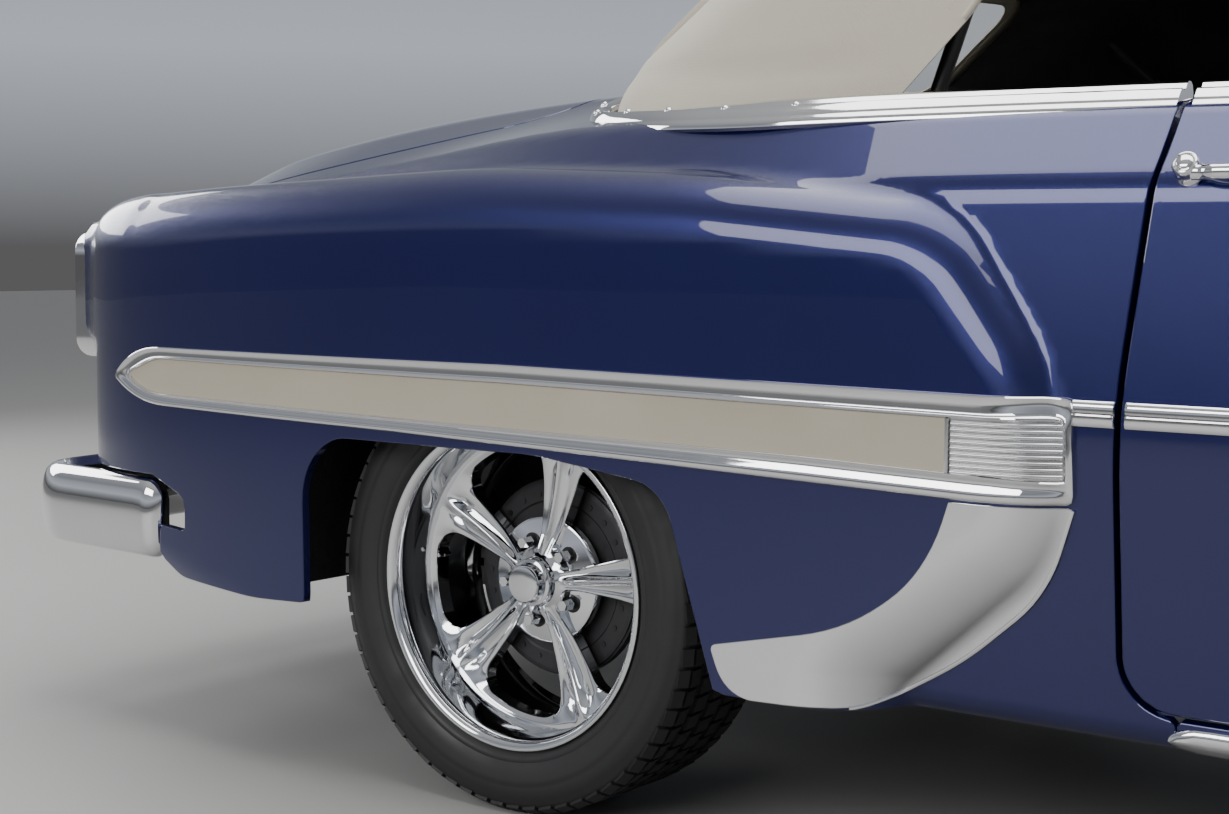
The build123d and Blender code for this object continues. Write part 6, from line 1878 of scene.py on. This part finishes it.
def flat(axis, at, u, v, pitch=0.045):
    """A grid of points on a plane square to an axis; u and v are ranges along the other two."""
    us, vs = [np.linspace(a, b, max(2, int(abs(b - a) / pitch))) for a, b in (u, v)]
    U, V = np.meshgrid(us, vs, indexing="ij")
    parts = [U, V]
    parts.insert(axis, np.full_like(U, at))
    return np.stack(parts, 2)


def plain_sheets(*places):
    """Flat inner sheets, each given by its axis, its place on it, and its two ranges."""
    return [inner_sheet(flat(*place)) for place in places]


def wheel_house(x, half, top, r, y_in, low):
    """A wheel house: a sheet rolled over the wheel and its inner wall."""
    line = rounded([(x - half, low, 0), (x - half, top, r), (x + half, top, r), (x + half, low, 0)])
    over = resampled(line, 60)
    ys = np.linspace(y_in, 0.905, 16)
    roll = np.stack(np.broadcast_arrays(over[:, None, 0], ys[None], over[:, None, 1]), 2)
    wall = flat(1, y_in, (x / 1000 - half / 1000, x / 1000 + half / 1000), (low / 1000 + 0.12, top / 1000))
    return [inner_sheet(roll), inner_sheet(wall, lambda q: -outside(q[:, [0, 2]], line) + 0.001)]


houses = wheel_house(1663, 408, 738, 158, 0.440, 300) + wheel_house(-1258, 404, 732, 158, 0.612, 300)
piece_of("wheel_houses", houses, under_coat, 38, "body", (), "black_metal", sides=True)
notch = plain_sheets((0, -1.893, (-0.86, 0.86), (0.285, 0.468)), (2, 0.4665, (-2.30, -1.893), (-0.90, 0.90)),
                     (2, 0.4665, (-1.895, -1.13), (-0.60, 0.60)))
HOUSE_SIDE = np.array([(-1.668, 0.4), (-1.668, 0.735), (-0.85, 0.735), (-0.85, 0.4)])
trunk = [inner_sheet(flat(1, s * 0.604, (-2.16, -1.13), (0.466, 0.93)), lambda q: outside(q[:, [0, 2]], HOUSE_SIDE))
         for s in (1, -1)]
trunk += plain_sheets((0, -1.128, (-0.72, 0.72), (0.432, 0.95)), (2, 0.852, (-1.420, -1.126), (-0.70, 0.70)),
                      (0, -1.4325, (-0.64, 0.64), (0.852, 1.06)))
piece_of("trunk_and_notch_panels", notch + trunk, under_coat, 38, "body", (), "black_metal")


def past_radiator(q):
    """Positive outside the radiator's rounded opening."""
    return np.hypot(np.maximum(np.abs(q[:, 1]) - 0.29, 0), np.maximum(np.abs(q[:, 2] - 0.57) - 0.22, 0)) - 0.01


bay = plain_sheets(*[(1, s * 0.434, (1.146, 2.205), (0.46, 0.93)) for s in (1, -1)],
                   (0, 1.146, (-0.73, 0.73), (0.40, 1.02)))
bay.append(inner_sheet(flat(0, 2.165, (-0.60, 0.60), (0.36, 0.86)), past_radiator))
bay += plain_sheets(*[(2, 0.765, (1.146, 2.15), (s * 0.434, s * 0.905)) for s in (1, -1)])
piece_of("engine_bay_panels", bay, chassis_black, 38, "body", (), "black_metal")
posts = []
for s in (1, -1):
    posts += plain_sheets((0, 0.918, (s * 0.712, s * 0.92), (0.262, 1.01)),
                          (1, s * 0.7285, (0.86, 1.146), (0.30, 1.02)),
                          (2, 0.2985, (-0.30, 0.912), (s * 0.730, s * 0.90)),
                          (0, -0.322, (s * 0.712, s * 0.93), (0.262, 0.985)),
                          (1, s * 0.7285, (-0.330, 0.912), (0.262, 0.334)))
piece_of("door_posts_and_sills", posts, pearl_blue, 38, "body", (), "body_paint")
quarters = [inner_sheet(flat(1, s * 0.7275, (-1.126, -0.282), (0.334, 1.004)),
                        lambda q: outside(q[:, [0, 2]], rounded([(-1662, 235, 0), (-1662, 732, 158), (-854, 732, 158),
                                                                 (-854, 235, 0)]))) for s in (1, -1)]
piece_of("quarter_inner_trim", quarters, vinyl, 38, "body", (), "seat_trim")

# %% [markdown]
# # Seats
# Both seats are benches of foam under pleated vinyl. The pleats are sewn through the padding, so each is a
# rounded ridge between two sharp valleys, with a plain border round them and piping along the edge.

# %% Seats
def cushion(lo, hi, r, axis, pitch, border, swell, lean=0.0, step_mm=20):
    """A padded block, pleated on the face towards +axis (2) or on its front (0, pleats upright)."""
    lo, hi = np.array(lo), np.array(hi)
    parts = []
    for k in range(3):
        u, v = [j for j in range(3) if j != k]
        for end in (0, 1):
            nu, nv = [max(4, int((hi[j] - lo[j]) * 1000 / (step_mm if j != 1 else pitch * 1000 / 5))) for j in (u, v)]
            g = np.zeros((nu + 1, nv + 1, 3))
            g[..., k] = (lo, hi)[end][k]
            g[..., u] = np.linspace(lo[u], hi[u], nu + 1)[:, None]
            g[..., v] = np.linspace(lo[v], hi[v], nv + 1)[None]
            parts.append(lattice(g))
    shaped = []
    for q, faces in parts:
        core = np.clip(q, lo + r, hi - r)
        away = q - core
        away /= np.maximum(np.linalg.norm(away, axis=1), 1e-9)[:, None]
        q = core + away * r
        t = (q - lo) / (hi - lo) * 2 - 1
        u = [j for j in (0, 2) if j != axis][0]
        inside = np.clip((1 - np.abs(t[:, 1])) * (hi - lo)[1] / 2 - border, 0, 0.02) / 0.02
        inside *= np.clip((1 - np.abs(t[:, u])) * (hi - lo)[u] / 2 - border, 0, 0.02) / 0.02
        facing = np.clip(away[:, axis], 0, 1)
        ridge = np.abs(np.sin(math.pi * q[:, 1] / pitch)) ** 0.55
        q[:, axis] += facing * (0.009 * inside * (ridge - 1) + swell * (1 - t[:, 1] ** 4) * (1 - t[:, u] ** 2))
        q[:, 0] -= lean * (q[:, 2] - lo[2])
        shaped.append((q, faces))
    return shaped


def piping(lo, hi, r, axis, lean=0.0):
    """A line round the padded face's edge."""
    lo, hi = np.array(lo), np.array(hi)
    u = 0 if axis == 2 else 2
    w = r * 0.30
    corners = (lo[u] + w, lo[1] + w), (hi[u] - w, lo[1] + w), (hi[u] - w, hi[1] - w), (lo[u] + w, hi[1] - w)
    ring = rounded([(a * 1000, b * 1000, r * 900) for a, b in corners])
    ring = resampled(ring, 140, True)
    line = np.zeros((140, 3))
    line[:, u], line[:, 1] = ring.T
    line[:, axis] = hi[axis] - w
    line[:, 0] -= lean * (line[:, 2] - lo[2])
    return np.concatenate([line, line[:1]])


SEATS = {"front_seat": ((-0.325, -0.693, 0.425), (0.190, 0.693, 0.600),
                        (-0.335, -0.693, 0.560), (-0.205, 0.693, 1.000), 0.13),
         "rear_seat": ((-1.055, -0.586, 0.425), (-0.600, 0.586, 0.560),
                       (-1.085, -0.586, 0.520), (-0.965, 0.586, 0.962), 0.10)}
EDGE, PLEAT, BORDER, SWELL = 0.045, 0.066, 0.055, 0.012
for seat, (lo, hi, back_lo, back_hi, lean) in SEATS.items():
    shape = cushion(lo, hi, EDGE, 2, PLEAT, BORDER, SWELL)
    made = piece_of(seat + "_cushion", shape, vinyl, 60, "body", [seat], "seat_trim")
    shape = cushion(back_lo, back_hi, EDGE, 0, PLEAT, BORDER, SWELL, lean)
    made = piece_of(seat + "_back", shape, vinyl, 60, "body", (), "seat_trim")
    from_tree(seat + "_piping", bead_tree(vinyl, 8), {"Width": 0.008, "Height": 0.008},
              *lines_to_edges([piping(lo, hi, EDGE, 2), piping(back_lo, back_hi, EDGE, 0, lean)]), body="body",
              slot="seat_trim")
piece_of("seat_bases", [soft_box((-0.30, -0.66, 0.334), (0.15, 0.66, 0.428), 0.012),
                        soft_box((-1.03, -0.565, 0.334), (-0.64, 0.565, 0.428), 0.012)], satin_black, 38, "body", (),
         "black_metal")

# %% [markdown]
# # Dashboard, wheel and door trim
# The dashboard is a painted pressing with one large dial before the driver, small dials, knobs and a glove
# box. The steering wheel has a thin hard rim, three bright spokes and a horn ring, since the car has no power
# steering and wants a wide wheel. Doors are lined with vinyl cards under an arm rest.

# %% Dashboard and steering wheel
DASH_X, DIAL = 0.6395, (0.370, 0.930)
KNOBS = [(0.06, 0.905), (0.0, 0.905), (-0.06, 0.905), (0.06, 0.945), (-0.06, 0.945), (0.22, 0.885), (0.52, 0.885)]


def on_dash(profile, y, z, steps):
    """A turned part on the dashboard, facing the seats."""
    return turned(profile, (DASH_X, y, z), (-1, 0, 0), steps)


dials, faces_of_dials = [], []
for y, z, r in ((DIAL[0], DIAL[1], 52), (DIAL[0] - 0.115, 0.918, 26), (DIAL[0] + 0.115, 0.918, 26)):
    dials.append(on_dash([(-6, r), (10, r + 1), (13, r + 4), (11, r + 7), (0, r + 9), (-6, r + 9)], y, z, 48))
    pointer = soft_box((DASH_X - 0.0052, y - 0.001, z - 0.004), (DASH_X - 0.0036, y + 0.001, z + r * 0.0008), 0.0004)
    faces_of_dials += [on_dash([(0, 0), (0, r), (3, r), (3, 0)], y, z, 48), pointer]
knobs = [on_dash([(-4, 4), (8, 4), (9, 9), (16, 9.5), (19, 7), (20, 0)], y, z, 20) for y, z in KNOBS]
trim_lines = [soft_box((DASH_X - 0.006, -0.67, 0.880), (DASH_X + 0.002, -0.12, 0.888), 0.002),
              soft_box((DASH_X - 0.006, -0.67, 0.962), (DASH_X + 0.002, 0.67, 0.970), 0.002),
              soft_box((DASH_X - 0.010, -0.34, 0.910), (DASH_X + 0.002, -0.30, 0.922), 0.003)]
piece_of("dash_bright_parts", dials + knobs + trim_lines, bright, 35, "body", (), "chrome")
piece_of("dash_dials", faces_of_dials, dial_face, 35, "body", (), "black_metal")
glove_box = soft_box((DASH_X - 0.005, -0.50, 0.895), (DASH_X + 0.001, -0.16, 0.955), 0.003)
piece_of("glove_box_door", [glove_box], pearl_blue, 35, "body", (), "body_paint")
AXIS = np.array([-0.8919, 0.0, 0.4522])
AXIS /= np.linalg.norm(AXIS)
WHEEL_C = np.array([0.418, 0.370, 0.921]) + AXIS * 0.044
ACROSS = np.array([0.0, 1.0, 0.0])
WHEEL_UP = np.cross(AXIS, ACROSS)


def round_wheel(r, a):
    """Points at a radius from the steering wheel's centre, in its plane."""
    return WHEEL_C + (np.cos(a)[:, None] * ACROSS + np.sin(a)[:, None] * WHEEL_UP) * r


turn = np.linspace(0, 2 * math.pi, 96, endpoint=False)
rim_line = round_wheel(0.208, turn)
rim = swept(rim_line, rim_line - WHEEL_C, circle(0.0105, 14), True)
horn = tube(round_wheel(0.118, turn[::2]) + AXIS * 0.004, 0.0045, 10, True, AXIS)
spokes_of = []
for a in np.radians((-90, 30, 150)):
    ends = round_wheel(0.03, np.array([a]))[0] - AXIS * 0.008, round_wheel(0.204, np.array([a]))[0]
    line = np.linspace(ends[0], ends[1], 12)
    spokes_of.append(swept(line, AXIS, circle(0.0095, 12, 0.45)))
hub_cap = turned([(-44, 0), (-44, 24), (-12, 40), (2, 44), (8, 42), (14, 34), (16, 20), (17, 0)], WHEEL_C, AXIS, 48)
hub = turned([(-20, 0), (-20, 26), (-6, 47), (0, 47), (0, 0)], WHEEL_C, AXIS, 48)
piece_of("steering_wheel_rim", [rim, hub], ivory_plastic, 40, "steering_wheel", ["steering_wheel"], "wheel_plastic")
piece_of("steering_wheel_bright", [horn, hub_cap] + spokes_of, bright, 40, "steering_wheel", (), "chrome")

# %% Door cards and carpet
for name, s in (("door_left", 1), ("door_right", -1)):
    card = rounded([(-262, 330, 30), (-262, 955, 40), (858, 955, 40), (858, 330, 30)])
    on_door = lambda u, v, h, s=s: (u, s * (0.7295 - h), v)
    pleat_lines = [np.stack([np.full(20, x), np.full(20, s * 0.7245), np.linspace(0.56, 0.86, 20)], 1)
                   for x in np.linspace(-0.20, 0.78, 16)]
    piece_of(name + "_card", [slab(card, on_door, 0.0, 0.0045, 0.002)], vinyl, 40, name, (), "seat_trim")
    from_tree(name + "_card_pleats", bead_tree(vinyl, 8), {"Width": 0.050, "Height": 0.008},
              *lines_to_edges(pleat_lines), body=name, slot="seat_trim")
    y_low, y_high = sorted((s * 0.690, s * 0.7255))
    arm_rest = soft_box((0.02, y_low, 0.665), (0.36, y_high, 0.72), 0.016)
    piece_of(name + "_arm_rest", [arm_rest], vinyl, 50, name, (), "seat_trim")
    crank = turned([(0, 0), (0, 13), (7, 11), (9, 0)], (0.60, s * 0.7255, 0.72), (0, -s, 0), 24)
    arm = tube(np.linspace((0.60, s * 0.717, 0.72), (0.66, s * 0.706, 0.64), 8), 0.005, 10)
    knob = turned([(-2, 0), (-2, 7), (14, 9), (18, 6), (19, 0)], (0.66, s * 0.708, 0.64), (0, -s, 0), 20)
    pull = turned([(0, 0), (0, 12), (6, 10), (8, 0)], (0.50, s * 0.7255, 0.80), (0, -s, 0), 24)
    lever = tube(np.linspace((0.50, s * 0.717, 0.80), (0.41, s * 0.712, 0.795), 8), 0.005, 10)
    piece_of(name + "_inner_handles", [crank, arm, knob, pull, lever], bright, 40, name, (), "chrome")
carpets = [soft_box((-0.62, 0.115, 0.333), (0.83, 0.715, 0.340), 0.003),
           soft_box((-0.62, -0.715, 0.333), (0.83, -0.115, 0.340), 0.003),
           soft_box((-0.62, -0.112, 0.333), (0.83, 0.112, 0.416), 0.02)]
piece_of("carpets", carpets, carpet, 38, "body", (), "black_metal")

# %% [markdown]
# # Finishes of the plain parts
# The frame, axles, engine block, springs and the screen keep their CAD shape, which is already the real one at
# this level. Each gets the finish of its material.

# %% Finishes of the CAD parts
PLAIN = {chassis_black: ["frame", "rear_axle", "rear_springs", "front_suspension", "radiator"],
         under_coat: ["floor_pan"], steel: ["exhaust", "knuckle_left", "knuckle_right"], engine_blue: ["engine"],
         satin_black: ["steering_column"], pearl_blue: ["dashboard"], bright: ["windscreen_frame"],
         screen_glass: ["windscreen_glass"]}
for material, names in PLAIN.items():
    for name in names:
        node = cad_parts[name]
        node.data.materials.clear()
        node.data.materials.append(material)
print("plain parts", sum(len(v) for v in PLAIN.values()))

# %% [markdown]
# # The view, the floor and the light
# The camera stands where the photo was taken from: its place, turns and focal length were fitted to measured
# points of the car. The car is then lit by five large soft panels over a plain floor, as in a studio, because
# bright metal and lacquer show their form by what they reflect.

# %% Camera
CAMERA_AT = Vector((0.57229, -2.99883, 0.82839))
YAW, PITCH, ROLL = math.radians(37.2287), math.radians(-4.6115), math.radians(0.3705)
FOCAL_PX, FRAME_PX = 1948.455, 1229
forward = Vector((-math.sin(YAW) * math.cos(PITCH), math.cos(YAW) * math.cos(PITCH), math.sin(PITCH)))
right = Vector((math.cos(YAW), math.sin(YAW), 0))
up = right.cross(forward)
right, up = right * math.cos(ROLL) + up * math.sin(ROLL), up * math.cos(ROLL) - right * math.sin(ROLL)
camera = new_object("camera", bpy.data.cameras.new("camera"))
camera.matrix_world = Matrix.Translation(CAMERA_AT) @ Matrix((right, up, -forward)).transposed().to_4x4()
camera.data.sensor_width = 36
camera.data.lens = 36 * FOCAL_PX / FRAME_PX
camera.data.clip_end = 100
bpy.context.scene.camera = camera

# %% Floor and light
bpy.ops.mesh.primitive_plane_add(size=60)
floor = bpy.context.object
floor.name = "studio_floor"
floor_paint = bpy.data.materials.new("studio_floor")
floor_paint.use_nodes = True
floor_shader = floor_paint.node_tree.nodes["Principled BSDF"]
floor_shader.inputs["Base Color"].default_value = (0.33, 0.325, 0.315, 1)
floor_shader.inputs["Roughness"].default_value = 0.6
floor.data.materials.append(floor_paint)


def soft_light(name, at, look_at, size, power, colour=(1, 1, 1)):
    light = new_object(name, bpy.data.lights.new(name, "AREA"))
    light.data.shape, light.data.size, light.data.size_y = "RECTANGLE", size[0], size[1]
    light.data.energy, light.data.color = power, colour
    light.location = at
    light.rotation_euler = (Vector(look_at) - Vector(at)).to_track_quat("-Z", "Y").to_euler()


soft_light("roof_light", (0, 0, 5.5), (0, 0, 0), (7, 5), 420)
soft_light("right_light", (-1.5, -6.5, 3.2), (-0.6, -0.9, 0.6), (6, 2.2), 260)
soft_light("rear_light", (-7, 0, 2.6), (-2, 0, 0.8), (4, 2), 140)
soft_light("left_light", (1.5, 6.5, 3.0), (0, 0.9, 0.6), (6, 2.2), 160)
soft_light("front_light", (7.5, 0, 2.6), (2, 0, 0.8), (4, 2), 120)
world = bpy.data.worlds.new("studio")
bpy.context.scene.world = world
world.use_nodes = True
sky = world.node_tree.nodes["Background"]
height = world.node_tree.nodes.new("ShaderNodeSeparateXYZ")
shade = world.node_tree.nodes.new("ShaderNodeValToRGB")
place = world.node_tree.nodes.new("ShaderNodeTexCoord")
world.node_tree.links.new(place.outputs["Generated"], height.inputs["Vector"])
world.node_tree.links.new(height.outputs["Z"], shade.inputs["Fac"])
world.node_tree.links.new(shade.outputs["Color"], sky.inputs["Color"])
for at, colour in ((0.0, (0.19, 0.19, 0.195)), (0.10, (0.22, 0.225, 0.235)), (0.30, (0.42, 0.45, 0.50)),
                   (1.0, (0.85, 0.90, 1.0))):
    point = shade.color_ramp.elements.new(at) if 0 < at < 1 else shade.color_ramp.elements[int(at)]
    point.color = colour + (1,)
sky.inputs["Strength"].default_value = 0.55
